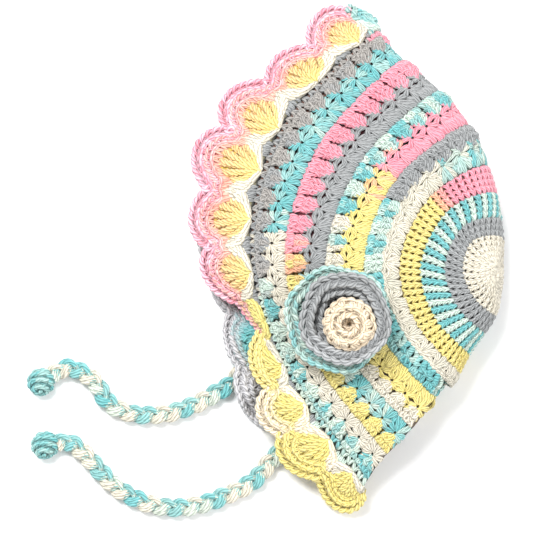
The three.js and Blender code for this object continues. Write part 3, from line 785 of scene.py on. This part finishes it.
def yarn_material(name, plies=4, lay=7.0):
    """Soft acrylic yarn: plies twisted along each strand and fibres that stray, with painted shade darkening
    the grooves between the plies, painted highlight on the ply tops and random paler patches.
    """
    shader = Shader(name)
    along = shader.attribute("along", "Fac")
    ring_x, ring_y, _ = shader.parts(shader.attribute("ring", "Vector"))
    angle = ring_y.angle_to(ring_x)
    ply = (angle * (plies / 2) + along * (math.pi * plies / 2 / lay)).sin().abs()
    groove = ply ** 0.6
    fibre_place = shader.vector(along * 0.5 + angle * 0.5, ring_x * 2.4 + along * 0.25, ring_y * 2.4)
    fibres = shader.noise(fibre_place, 3.4, 3.0)
    patches = shader.noise(shader.object_place(), 150.0, 2.0)
    colour = shader.attribute("yarn_colour", "Color")
    # Painted shade: a deep, dark tone of the yarn's colour, which the grooves between the plies take.
    deep = shader.mix(colour, colour, 1.0, "MULTIPLY")
    dark = shader.mix(deep, (0.3, 0.3, 0.3, 1.0), 1.0, "MULTIPLY")
    grooved = shader.mix(dark, colour, (groove * 0.72 + 0.2 + fibres * 0.25).clamp())
    # Painted highlight: the ply tops are whitened along the fibres, over random paler patches.
    patches_and_highlight = shader.mix(grooved, (1.0, 1.0, 1.0, 1.0), (patches * 0.12 - 0.03 + fibres * ply * 0.16).clamp())
    relief = shader.bump(groove + fibres * 0.35, 0.0004, 1.0)
    return shader.finish(Base_Color=patches_and_highlight, Roughness=fibres * 0.2 + 0.62, Normal=relief,
                         Sheen_Weight=0.3, Sheen_Roughness=0.4, Specular_IOR_Level=0.3)


def ground_material(name):
    """The cloth behind the stitches: loops side by side in rows, in the shade of the yarn over it."""
    shader = Shader(name)
    colour = shader.attribute("ground_colour", "Color")
    across = shader.attribute("across", "Fac")
    rows = shader.attribute("rows", "Fac")
    slant = (rows * (2 * math.pi)).sin() * 0.35
    loops = ((across * (math.pi / 3.0) + slant).sin().abs()) ** 0.6
    courses = ((rows * (2 * math.pi)).sin().abs()) ** 0.5
    fibres = shader.noise(shader.object_place(), 900.0, 3.0)
    # Painted shade: the colour darkens in the grooves between the ground's loops and rows.
    shaded = shader.mix(shader.mix(colour, colour, 1.0, "MULTIPLY"), colour,
                        (loops * 0.4 + courses * 0.4 + fibres * 0.3).clamp())
    relief = shader.bump(loops * 0.8 + courses * 0.8 + fibres * 0.4, 0.0007, 0.9)
    return shader.finish(Base_Color=shaded, Roughness=fibres * 0.15 + 0.8, Normal=relief,
                         Sheen_Weight=0.2, Specular_IOR_Level=0.2)


# Pieces

def slab_piece(name, outer, inner, colours, across, rows, material, wrap=False):
    """A closed sheet between two grids of points, with the ground's attributes at each grid point."""
    count, cols = outer.shape[:2]
    last = cols if wrap else cols - 1
    under = count * cols
    faces = []
    for i in range(count - 1):
        for j in range(last):
            k = (j + 1) % cols
            a, b, c, d = i * cols + j, (i + 1) * cols + j, (i + 1) * cols + k, i * cols + k
            faces.append((a, d, c, b))
            faces.append((under + a, under + b, under + c, under + d))
    end = under - cols
    for j in range(last):
        k = (j + 1) % cols
        faces.append((end + j, end + k, under + end + k, under + end + j))
        faces.append((j, under + j, under + k, k))
    if not wrap:
        for i in range(count - 1):
            a, b = i * cols, (i + 1) * cols
            faces.append((a, b, under + b, under + a))
            faces.append((a + cols - 1, under + a + cols - 1, under + b + cols - 1, b + cols - 1))
    verts = np.concatenate([outer.reshape(-1, 3), inner.reshape(-1, 3)])
    mesh = bpy.data.meshes.new(name)
    mesh.from_pydata([tuple(p) for p in (verts - ORIGIN) * MM], [], faces)
    add_attribute(mesh, "ground_colour", np.tile(colours.reshape(-1, 3), (2, 1)))
    add_attribute(mesh, "across", np.tile(np.broadcast_to(across, (count, cols)).ravel(), 2))
    add_attribute(mesh, "rows", np.tile(np.broadcast_to(rows, (count, cols)).ravel(), 2))
    tidy_mesh(mesh)
    mesh.materials.append(material)
    return add_object(name, mesh)


def tidy_mesh(mesh):
    """Merges doubled points, points the faces outwards and shades the mesh smooth."""
    work = bmesh.new()
    work.from_mesh(mesh)
    bmesh.ops.remove_doubles(work, verts=work.verts, dist=1e-6)
    bmesh.ops.recalc_face_normals(work, faces=work.faces)
    work.to_mesh(mesh)
    work.free()
    mesh.shade_smooth()


def finish_piece(piece, slot, *nodes):
    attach(piece, "root")
    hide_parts(*nodes)
    return piece


def ground_colour(row, side):
    """Colour of the ground beneath a row, as painted shade: the yarn above it, darkened, or near the top of
    the last rows the inside's pink yarn as a dark red-brown.
    """
    near = mirrored(side)
    if row > SHADED_INSIDE_GROUND["row"] and near > SHADED_INSIDE_GROUND["near"]:
        return np.array(SHADED_INSIDE_GROUND["colour"])
    band = min(FRONT_ROW, max(1, math.ceil(row)))
    _, first, second, share = BANDS[band][stop_at(band, near)]
    base = linear(first) * (1 - share) + linear(second) * share
    if FAR_SIDE[0] < side < FAR_SIDE[1]:
        return base * GROUND_SHADES["far"]
    return base * GROUND_SHADES["last_round" if 2.9 < row < SEAM_ROW else "near"]


def cloth_ground(name, rows, columns, material, wrap=False):
    """The ground of a stretch of cloth, from just under its stitches to its inner face."""
    sides = np.array([columns(row) for row in rows])
    grid = np.repeat(rows[:, None], sides.shape[1], axis=1)
    colours = np.array([[ground_colour(r, s % 2) for r, s in zip(a, b)] for a, b in zip(grid, sides)])
    outer, inner = (CLOTH.at_side(grid.ravel(), sides.ravel() % 2.0001, height)[0].reshape(*grid.shape, 3)
                    for height in (GROUND_TOP, -WALL))
    return slab_piece(name, outer, inner, colours, sides / 2 * CLOTH.length(grid), grid, material, wrap)


def side_columns(row):
    """Places of the side's columns on one of its rows."""
    return np.linspace(neck_inset(row), 2 - neck_inset(row), 161)


def round_of_posts(skein, row, start, end, stitches):
    """A round of double crochet: a stem of nested Vs for each stitch."""
    for k, side, wide, size, at in each_stitch(start, end, stitches, end):
        narrow = CLOTH.length(max(start, 0.35)) / stitches
        colour = linear("teal" if k % 2 else "mint") if row == 3 else yarn_at(row, side)
        skein.braid(at, (0, 0.1), (RNG.uniform(-0.2, 0.2), size * 0.98), colour, wide * 1.12,
                    min(0.95, 1.1 * narrow / wide))


def lies_under(side):
    """True for the stretch that rests on the table, which is worked in fewer strands."""
    return UNDERSIDE[0] < side < UNDERSIDE[1]


def star_row(skein, row, top, eyes):
    """Stars: loops round an eye, long ones to the crown and short ones between the next row's blocks."""
    for _, side, wide, size, at in each_stitch(row, top, eyes, row):
        pale = STAR_TINTS.get(row) if side > 0.52 or row == 5 else None
        for angle in (*CROWN_PETALS, *FRONT_PETALS):
            a = math.radians(angle + RNG.uniform(-5, 5))
            right, front = math.sin(a), -math.cos(a)
            ahead = abs(angle) < 100
            reach = RNG.uniform(0.97, 1.05) / max(abs(right), abs(front)) ** 0.5
            far = size if ahead else PETAL["front"]
            tip = (right * wide * PETAL["spread"] * reach, front * far * reach)
            foot = (right * PETAL["eye"], front * PETAL["eye"])
            colour = yarn_at(row, side)
            if pale and angle > 30:
                share = (0.6 if angle > 60 else 0.2) * (0.5 if row == 11 else 1)
                colour = colour * (1 - share) + shade(linear(pale)) * share
            if lies_under(side):
                skein.loop(at, foot, tip, colour, radius=0.95, count=5)
                continue
            if angle == 0:
                for turn in (-1, 1):
                    skein.loop(at, (wide * 0.5 + turn * 0.3, -size * 0.2),
                               (wide * 0.5 + turn * 0.9, -size * 0.85), colour, rise=0.6, radius=0.9,
                               count=6)
            if ahead:
                skein.petal(at, foot, tip, colour, half=0.72, radius=0.74, rise=1.1, count=10)
            else:
                skein.petal(at, foot, tip, colour, half=0.55, radius=0.7, rise=1.3, count=8)


def block_row(skein, row, start, end, eyes):
    """Blocks of three double crochets worked into each eye, rounded, and spreading to the front."""
    for _, side, wide, size, flat in each_stitch(start, end, eyes, end):
        at = lambda u, v, h: flat(u, v, h + BLOCK_PUFF * np.cos(np.clip(u / wide, -0.5, 0.5) * np.pi)
                                  * np.sin(np.clip(v / size, 0, 1) ** 1.3 * np.pi))
        for number in (-1, 1, 0):
            one, two = yarn_at(row, side), yarn_at(row, side)
            lean = number + RNG.uniform(-0.1, 0.1)
            middle = lean * wide * 0.28
            if lies_under(side):
                skein.loop(at, (lean * 0.6, 0.4), (middle, size * 0.66), one, radius=1.1, count=5)
                skein.vee(at, (middle, size * 0.6), wide * 0.15, size * 0.4, two, radius=0.95)
                continue
            skein.post(at, (lean * 0.8, 0.9), (middle, size * 0.68), one, wide * 0.095, 0.6, 0.25, 0.86,
                       phase=RNG.uniform(0, 6), bow=-number * 0.1)
            slant = RNG.choice((-1, 1)) * wide * 0.14
            skein.loop(at, (middle - slant, size * 0.42), (middle + slant, size * 0.6), shade(one),
                       rise=1.1, sink=-0.3, radius=0.8, count=5)
            skein.vee(at, (middle + RNG.uniform(-0.4, 0.4), size * RNG.uniform(0.58, 0.66)), wide * 0.14,
                      size * 0.38, two, 0.8, 0.98)
            skein.loop(at, (middle - slant, size * RNG.uniform(0.8, 0.86)),
                       (middle + slant, size * RNG.uniform(0.92, 0.98)), two, rise=0.8, sink=-0.4,
                       radius=0.85, count=5)


def single_row(skein, row, start, end, stitches):
    """A row of single crochet: a short V for each stitch, over a slanting loop."""
    for _, side, wide, size, at in each_stitch(start, end, stitches, end):
        skein.loop(at, (-0.35 * wide, 0.0), (0.35 * wide, size * 0.5), yarn_at(row, side), rise=0.3,
                   radius=0.85, count=5)
        skein.vee(at, (0, size * 0.2), wide * 0.42, size * 0.82, yarn_at(row, side), 0.4, 0.9)


# Edging

def edge_frame(root):
    """Points, facings and ways along the front edge at the given roots."""
    here, normal = CLOTH.at_side(FRONT_ROW, root, 0)
    ahead, _ = CLOTH.at_side(FRONT_ROW, np.minimum(root + EDGE_STEP, 2), 0)
    behind, _ = CLOTH.at_side(FRONT_ROW, np.maximum(root - EDGE_STEP, 0), 0)
    along = unit(ahead - behind)
    away = unit(np.cross(normal, along))
    return here + away * EDGE_GAP, normal, along


def shell_point(index, around, out, height):
    """Points of one shell: around from -1 to 1 between its valleys, out from the front edge to the rim."""
    shell, after = (*SHELLS, SHELLS_END)[index:index + 2]
    around, out, height = matched(around, out, height)
    root = shell["root"] + (after["root"] - shell["root"]) * (around + 1) / 2
    base, normal, along = edge_frame(root)
    first, second = np.array(shell["valley"], float), np.array(after["valley"], float)
    middle = (first + second) / 2
    a = around[:, None] * np.pi / 2
    rim = middle + (second - middle) * np.sin(a) + (np.array(shell["tip"], float) - middle) * np.cos(a)
    facing = unit(np.cross(along, rim - base))
    p = base + (rim - base) * out[:, None]
    far = root > FAR_SIDE[0]
    p = np.where(far[:, None], rested(p, far), p)
    n = unit(normal * (1 - out[:, None]) + facing * out[:, None])
    return p + n * height[:, None], n


def seam_place(rim):
    """Where the fan of a shell ends, as (around, out), for each point round its rim from -1 to 1."""
    rim = np.atleast_1d(rim).astype(float)
    turn = np.clip(rim / FAN["share"], -1, 1) * FAN["turn"]
    around, out = FAN["half"] * np.sin(turn), FAN["middle"] + FAN["half_depth"] * np.cos(turn)
    beyond = np.clip((np.abs(rim) - FAN["share"]) / (1 - FAN["share"]), 0, 1)
    around = around + (np.sign(rim) * VALLEY["around"] - around) * beyond
    return around, out + (VALLEY["out"] - out) * beyond


def shell_stitches(skein, index, face):
    """One shell: a round fan of double crochets from one point, a border row and a chain round the rim.

    face is 1 for the outer face and -1 for the inner one, which shows where the far side lies open.
    """
    shell = SHELLS[index]
    two_tone = shell["fan"] == "mint"
    pinks = "rose" if shell["border"] == "pink" else None
    seam = linear(shell["seam"])

    def pick(name, other=None):
        other = "teal" if two_tone and name == "mint" else other
        return blend(name, other or name, RNG.uniform(0, 1))

    def at(around, out, height):
        return shell_point(index, around, out, height - 0.3 if face > 0 else -WALL + 0.8 - height)[0]

    first, last = at([-1, 1], 0.3, 0)
    across = np.linalg.norm(last - first) / 2
    tall = np.linalg.norm(at(0, 1, 0) - at(0, 0, 0))

    def local(u, v, height):
        """From millimetres round the fan's point to the shell's own measures."""
        return at(np.asarray(u, float) / across, np.asarray(v, float) / tall, height)

    for k in range(FAN["posts"]):
        rim = -1 + 2 * (k + 0.5) / FAN["posts"]
        side_post = k in (0, FAN["posts"] - 1)
        colour = pick(shell["sides"] if side_post else shell["fan"])
        end = colour if side_post else colour * 0.4 + seam * 0.6
        spread, thick = (0.62, 1.25) if side_post else (0.066 * across + 0.1, 1.04)
        for rope in (-1, 0, 1) if side_post else (0,):
            (around,), (out,) = seam_place(rim * (0.95 + rope * 0.21 if side_post else 0.9))
            skein.post(local, (rim * (0.5 + rope * 0.3), 0.2), (around * across, out * tall), colour,
                       spread, 0.4, 0.5 + 0.5 * (1 - abs(rim)), thick, phase=k * 1.7 + rope * 2,
                       bow=-rim * abs(rim) * 0.34, colour_end=end)
    fill = "grey" if 1 < index < 11 or index > 13 else "mint"
    for around, reach in SHELL_FILLS:
        for turn in (-1, 1):
            skein.loop(at, (around, -0.02), (around + turn * 0.07, reach), pick(fill), rise=0.1, count=6,
                       sink=-0.9)
    rim_share = max(0.35, 1 - RIM_CHAIN / (tall * (1 - FAN["middle"] - FAN["half_depth"])))

    def border_at(rim, share, height):
        """Points of the border: round the rim, and by their share of the way from the fan's seam to it."""
        around, out = seam_place(rim)
        return at(around + (rim - around) * share, out + (1 - out) * share, height)

    def band(share, height):
        rim = np.linspace(-1, 1, 25)
        points = border_at(rim, share, height)
        return Ribbon(points, border_at(rim, share, height + 1.0) - points)

    for low, high, seam_part, width in ((-0.08, rim_share * 0.46, 0.7, 2.7),
                                        (rim_share * 0.38, rim_share + 0.02, 0.05, 2.9)):
        size = band((low + high) / 2, 0.0).size
        stitches = max(6, round(size / width))
        reach = width / size
        for k in range(stitches):
            rim = (k + 0.5) / stitches * 2 - 1
            colour = pick(shell["border"], pinks) * (1 - seam_part) + seam * seam_part
            for turn in (-1, 1):
                skein.loop(lambda u, v, h: border_at(np.clip(rim + u, -1, 1), v, h),
                           (turn * reach * 0.1, low), (turn * reach, high), shade(colour, 0.04), rise=0.7,
                           sink=-0.25, count=5, radius=0.9, bow=-turn * 0.1 * reach)
    chain(skein, band(rim_share * 0.48, 0.3), 2.7, 3.0,
          lambda s: pick(shell["border"], pinks) * 0.6 + seam * 0.4, 0.8, 0.9)
    chain(skein, band(rim_share, 0.2), 2.9, 3.8, lambda s: pick(shell["border"], pinks), 0.9, 1.05)


def edging_ground(material):
    """The ground of the edging, one sheet along all its shells, its yarns darkened as painted shade."""
    outer, inner, colours = [], [], []
    outs = np.linspace(0, EDGE_GROUND["out"], 8)
    for index, shell in enumerate(SHELLS):
        names = ["grey" if o < 0.1 else shell["fan"] if o < FAN_SHARE else shell["border"] for o in outs]
        shades = [linear(name) * EDGE_GROUND["root_shade" if name == "grey" else "shade"] for name in names]
        steps = 12 if index + 1 < len(SHELLS) else 13
        for around in np.linspace(-1, 1, 13)[:steps]:
            top, n = shell_point(index, around, outs, np.where(outs > 0.1, -0.35, -0.8))
            outer.append(top)
            inner.append(top - n * EDGE_GROUND["thick"])
            colours.append(shades)
    outer, inner, colours = (np.array(v).transpose(1, 0, 2) for v in (outer, inner, colours))
    outer[:, :, 2] = np.maximum(outer[:, :, 2], 0.2)
    inner[:, :, 2] = np.maximum(inner[:, :, 2], 0.1)
    across = np.arange(outer.shape[1]) * 2.0
    return slab_piece("edging_ground", outer, inner, colours, across, outs[:, None] * 4, material)


# Flower

def flower_point(layer, radius, angle, height):
    """Points of one layer of the flower, height above its top face."""
    radius, angle, height = matched(radius, angle, height)
    base, n = (v[0] for v in CLOTH.at_side(FLOWER["row"], FLOWER["side"], 0))
    right = unit(np.cross([0, 1, 0], n))
    ahead = np.cross(n, right)
    section = np.array(layer["section"], float)
    share = (radius / section[-1, 0]) ** 3
    lobe = np.cos(layer["petals"] * (angle + FLOWER["turn"]))
    r = radius + share * layer["scallop"] * lobe * 0.5
    top = np.interp(radius, section[:, 0], section[:, 2]) + height
    top = top + share * layer["wave"] * (1 - lobe) * 0.5
    return (base + n * FLOWER["stand"] + right * (layer["shift"][0] + r * np.cos(angle))[:, None]
            + ahead * (layer["shift"][1] + r * np.sin(angle))[:, None] + n * top[:, None])


def flower_ring(layer, radius, radius_end, height):
    """A ribbon round a layer of the flower, which may widen on its way."""
    angle = np.linspace(0, 2 * np.pi, 61) + FLOWER["chain_start"]
    r = np.linspace(radius, radius_end, len(angle)) + layer["scallop"] * 0.2 * np.sin(3 * angle + radius)
    height = height + layer["scallop"] * 0.25 * np.sin(2 * angle + radius * 2)
    points = flower_point(layer, r, angle, height)
    return Ribbon(points, flower_point(layer, r, angle, height + 1) - points)


# Rings of each layer. shade: the share of the yarn's colour that the layer's ground keeps, as painted shade.
# posts: inner and outer radius, and spacing. lobes: inner and outer radius, number and thickness. chains:
# radius at start and end, height, length and width of a link, and thickness.
FLOWER_RINGS = {
    "flower_outer_petals": {
        "shade": 0.5, "posts": [(12.0, 15.4, 2.4), (15.2, 18.4, 2.4)],
        "chains": [(19.0, 19.0, 0.2, 3.2, 4.2, 1.12)]},
    "flower_middle_petals": {
        "shade": 0.28, "posts": [(7.5, 11.0, 2.6), (14.0, 15.6, 2.4)],
        "chains": [(11.8, 13.0, 0.9, 3.7, 4.2, 1.1), (15.6, 16.2, 0.5, 3.8, 4.4, 1.15)]},
    "flower_centre": {
        "shade": 0.7, "posts": [(1.2, 3.6, 2.2)], "lobes": (6.4, 9.0, 14, 1.25),
        "chains": [(3.4, 3.6, -0.6, 2.8, 3.0, 0.95), (5.4, 5.6, 0.7, 3.1, 3.8, 1.1),
                   (8.4, 8.4, -2.4, 3.4, 3.4, 1.1)]},
}


def flower_stitches(layer, colour_at):
    """Stitches of one layer: short radial posts, lobes, and chains round its ridges."""
    skein = Skein()
    rings = FLOWER_RINGS[layer["name"]]

    def spoke(a):
        """Lays local millimetres along a radius: u across it, v outwards."""
        return lambda u, v, h: flower_point(layer, v, a + u / np.maximum(v, 1), h)

    for inner, outer, pitch in rings["posts"]:
        posts = int(2 * math.pi * outer / pitch)
        for k in range(posts):
            a = 2 * math.pi * k / posts
            skein.post(spoke(a), (0, inner), (0, outer), colour_at(a), 0.6, 0.8, 0.1)
            skein.vee(spoke(a), (0, outer - 1.6), 1.0, 1.8, colour_at(a), 0.5)
    inner, outer, lobes, thick = rings.get("lobes", (0, 0, 0, 0))
    for k in range(lobes):
        a = 2 * math.pi * (k + RNG.uniform(-0.15, 0.15)) / lobes
        reach = outer + RNG.uniform(-0.5, 0.4)
        skein.petal(spoke(a), (0, inner), (0.5, reach), colour_at(a), half=1.0, radius=thick, rise=1.0,
                    sink=-0.3)
    for radius, radius_end, height, pitch, width, thick in rings["chains"]:
        chain(skein, flower_ring(layer, radius, radius_end, height), pitch, width,
              lambda s: colour_at(s * 2 * math.pi + FLOWER["chain_start"]), rise=0.8, radius=thick)
    return skein


def flower_ground(layer, colour, material):
    """The ground of a layer of the flower, from its underside to just under its stitches, its yarn darkened
    as painted shade.
    """
    section = np.array(layer["section"], float)
    angles = -np.linspace(0, 2 * np.pi, 49)[:-1]
    radii = np.concatenate([[0.01], section[1:-1, 0], [section[-1, 0] - 0.8]])
    top = np.array([flower_point(layer, r, angles, -0.9) for r in radii])
    thick = np.interp(radii, section[:, 0], section[:, 2] - section[:, 1])
    under = np.array([flower_point(layer, r, angles, -t) for r, t in zip(radii, thick)])
    colours = np.tile(colour * FLOWER_RINGS[layer["name"]]["shade"], (*top.shape[:2], 1))
    return slab_piece(layer["name"] + "_ground", top, under, colours, np.arange(len(angles)) * 2.0,
                      radii[:, None] / 4, material, wrap=True)


# Ties and knots

def tie_route(route, knot):
    """A tie's smooth route in metres, from its exit to just short of its knot."""
    knot = np.array([*knot, 0.0])
    last = np.array([*route[-1], 0.0])
    end = knot + unit(last - knot) * (KNOT["across"] / 2 + KNOT["gap"]) * MM
    points = [(x, y, TIE["height"]) for x, y in route] + [(end[0], end[1], TIE["height"])]
    return smooth_line(points, 161)


def tie_colour(along):
    """Teal and cream by turns along a tie."""
    block = math.floor(along / (PLAIT["turn"] / 2))
    if block % 2 == 0:
        return blend("teal", "mint", RNG.uniform(0, 0.35))
    return blend("cream", "mint", RNG.choice((0, 0.1, 0.7)))


def make_tie(name, route, knot, material):
    """A tie: three bundles of yarn plaited together."""
    path = tie_route(route, knot)
    ribbon = Ribbon(path / MM, np.tile([0, 0, 1.0], (len(path), 1)))
    skein = Skein()
    half = TIE["diameter"] / MM / 2
    lobe_size = PLAIT["turn"] / 2
    for bundle in range(PLAIT["bundles"]):
        shift = bundle / PLAIT["bundles"] * 2
        for lobe in range(-1, int(ribbon.size / lobe_size) + 2):
            start = (lobe + shift) * lobe_size
            low = max(start - PLAIT["lap"], 0)
            high = min(start + lobe_size + PLAIT["lap"], ribbon.size + PLAIT["step"])
            if high - low < 2.5:
                continue
            colour = tie_colour(start + lobe_size / 2)
            s = np.linspace(low, high, max(5, int((high - low) / PLAIT["step"])))
            phase = np.pi * (s / lobe_size - shift)
            for ply in range(PLAIT["plies"]):
                offset = (ply - 1) * PLAIT["ply_gap"]
                across = np.sin(phase) * (half - PLAIT["inset"]) + offset * np.abs(np.cos(phase * 0.5 + 0.4))
                across = across + 0.5 * offset * np.sign(np.sin(phase))
                height = np.sin(2 * phase) * PLAIT["swing"] + 0.5 * (1 - abs(ply - 1))
                points = ribbon.at(s, across, np.clip(height, -PLAIT["height"], PLAIT["height"]))
                skein.strand(points, PLAIT["radius"], shade(colour))
    return spin_yarn(name, skein, material, sides=6), path, ribbon.size * MM


def make_knot(name, knot, material):
    """A tie's end knot: rings of chain laid round in the shape of a ball."""
    middle = np.array([*knot, 0]) / MM + [0, 0, KNOT["tall"] / 2]
    skein = Skein()
    lie = math.radians(KNOT_RINGS["tilt"])
    tilt = np.array([[1, 0, 0], [0, math.cos(lie), math.sin(lie)], [0, -math.sin(lie), math.cos(lie)]])
    turn = np.linspace(0, 2 * np.pi, 41)
    for latitude in KNOT_RINGS["latitudes"]:
        lean = math.radians(latitude)
        facing = np.stack([np.cos(turn) * math.cos(lean), np.sin(turn) * math.cos(lean),
                           np.full(len(turn), math.sin(lean))], axis=1) @ tilt
        ring = Ribbon(middle + facing * KNOT_RINGS["reach"], facing)
        chain(skein, ring, KNOT_RINGS["pitch"], KNOT_RINGS["width"],
              lambda s: blend("teal", "mint", RNG.uniform(0, 0.5)), rise=0.5, radius=KNOT_RINGS["radius"])
    return spin_yarn(name, skein, material, sides=6)


# Camera and stage

def add_camera():
    """The camera, at the photograph's angle, so far away that the view is 'width' metres wide."""
    up = math.radians(VIEW["elevation"])
    camera = bpy.data.cameras.new("Camera")
    camera.sensor_width = 36.0
    camera.lens = camera.sensor_width * VIEW["distance"] / VIEW["width"]
    camera.clip_start = 0.01
    rig = add_object("Camera", camera)
    rig.location = np.array(VIEW["target"]) + VIEW["distance"] * np.array([0, -math.cos(up), math.sin(up)])
    rig.rotation_euler = (math.radians(90 - VIEW["elevation"]), 0, 0)
    bpy.context.scene.camera = rig


def add_light(name, place, aim, size, power):
    """A round area light at a place, turned to its aim."""
    light = bpy.data.lights.new(name, "AREA")
    light.shape = "DISK"
    light.size = size
    light.energy = power
    rig = add_object(name, light)
    rig.location = place
    way = np.array(aim, float) - np.array(place, float)
    rig.rotation_euler = (math.atan2(math.hypot(way[0], way[1]), -way[2]), 0, math.atan2(-way[0], way[1]))


def add_stage():
    """A pale table top and soft studio light from above and the left."""
    shader = Shader("Pale table")
    grain = shader.noise(shader.object_place(), 40.0, 3.0)
    tint = shader.mix((0.95, 0.95, 0.955, 1), (0.98, 0.98, 0.98, 1), grain)
    mesh = bpy.data.meshes.new("Table top")
    corners = [(x * TABLE_HALF, y * TABLE_HALF, 0) for x, y in ((-1, -1), (1, -1), (1, 1), (-1, 1))]
    mesh.from_pydata(corners, [], [(0, 1, 2, 3)])
    mesh.materials.append(shader.finish(Base_Color=tint, Roughness=0.9, Specular_IOR_Level=0.1))
    add_object("Table top", mesh)
    world = bpy.data.worlds.new("Studio")
    world.use_nodes = True
    world.node_tree.nodes["Background"].inputs["Color"].default_value = (1.0, 1.0, 1.0, 1)
    world.node_tree.nodes["Background"].inputs["Strength"].default_value = SKY
    bpy.context.scene.world = world
    for light in LIGHTS:
        add_light(**light)
    bpy.context.scene.view_settings.view_transform = "Standard"


# Making: camera and ties first

add_camera()
STRAND_TREE = strand_tree()
tie_yarn = yarn_material("Tie yarn")
for name, route, knot in (("far", FAR_TIE_ROUTE, FAR_KNOT), ("near", NEAR_TIE_ROUTE, NEAR_KNOT)):
    knot_piece = finish_piece(make_knot(name + "_knot_wraps", knot, tie_yarn), "tie_yarn", name + "_knot")
    plait, path, size = make_tie(name + "_tie_plait", route, knot, tie_yarn)
    finish_piece(plait, "tie_yarn", name + "_tie")
    centres = [tuple(p) for p in path - ORIGIN * MM]
    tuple(centres[0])

CLOTH = Cloth()
ground = ground_material("Cloth ground")
crown_yarn = yarn_material("Crown yarn")
side_yarn = yarn_material("Side yarn")
edging_yarn = yarn_material("Edging yarn")

# Crown
crown_columns = lambda row: np.linspace(0, 2, 121)[:-1]
finish_piece(cloth_ground("crown_ground", np.linspace(0.0, 4.98, 40), crown_columns, ground, wrap=True),
             "crown_yarn", "crown")
crown = Skein()
for made in CROWN_ROUNDS:
    round_of_posts(crown, **made)
finish_piece(spin_yarn("crown_stitches", crown, crown_yarn), "crown_yarn", "crown")

# Side
finish_piece(cloth_ground("side_ground", np.linspace(5.02, 12.98, 60), side_columns, ground), "side_yarn",
             "side")
for made in STAR_ROWS:
    row, eyes = made["row"], made["eyes"]
    rows = Skein()
    star_row(rows, row, made["top"], eyes)
    block_row(rows, row + 1, row, made["block_end"], eyes)
    finish_piece(spin_yarn(f"side_stitches_{row}_{row + 1}", rows, side_yarn), "side_yarn", "side")
front = Skein()
single_row(front, **SINGLE_ROW)
finish_piece(spin_yarn("side_stitches_13", front, side_yarn), "side_yarn", "side")

# Edging
finish_piece(edging_ground(ground), "edging_yarn", "scalloped_edging")
for name, chosen, face in (("edging_near", range(0, 12), 1), ("edging_far", range(12, 23), 1),
                           ("edging_far_inner", range(13, 22), -1)):
    shells = Skein()
    for index in chosen:
        shell_stitches(shells, index, face)
    finish_piece(spin_yarn(name + "_stitches", shells, edging_yarn), "edging_yarn", "scalloped_edging")

# Flower
flower_yarns = {
    "flower_outer_petals": ("flower_mint_yarn", "mint",
                            lambda a: blend("mint", "teal", RNG.uniform(0, 0.85))),
    "flower_middle_petals": ("flower_grey_yarn", "grey",
                             lambda a: shade(linear("pale_grey" if math.sin(a) < -0.5 else "grey"))),
    "flower_centre": ("flower_cream_yarn", "warm_cream", lambda a: shade(linear("warm_cream"))),
}
for layer in FLOWER_LAYERS:
    slot, base, colour_at = flower_yarns[layer["name"]]
    finish_piece(flower_ground(layer, linear(base), ground), slot, layer["name"])
    finish_piece(spin_yarn(layer["name"] + "_stitches", flower_stitches(layer, colour_at),
                           yarn_material(layer["name"] + " yarn")), slot, layer["name"])

add_stage()
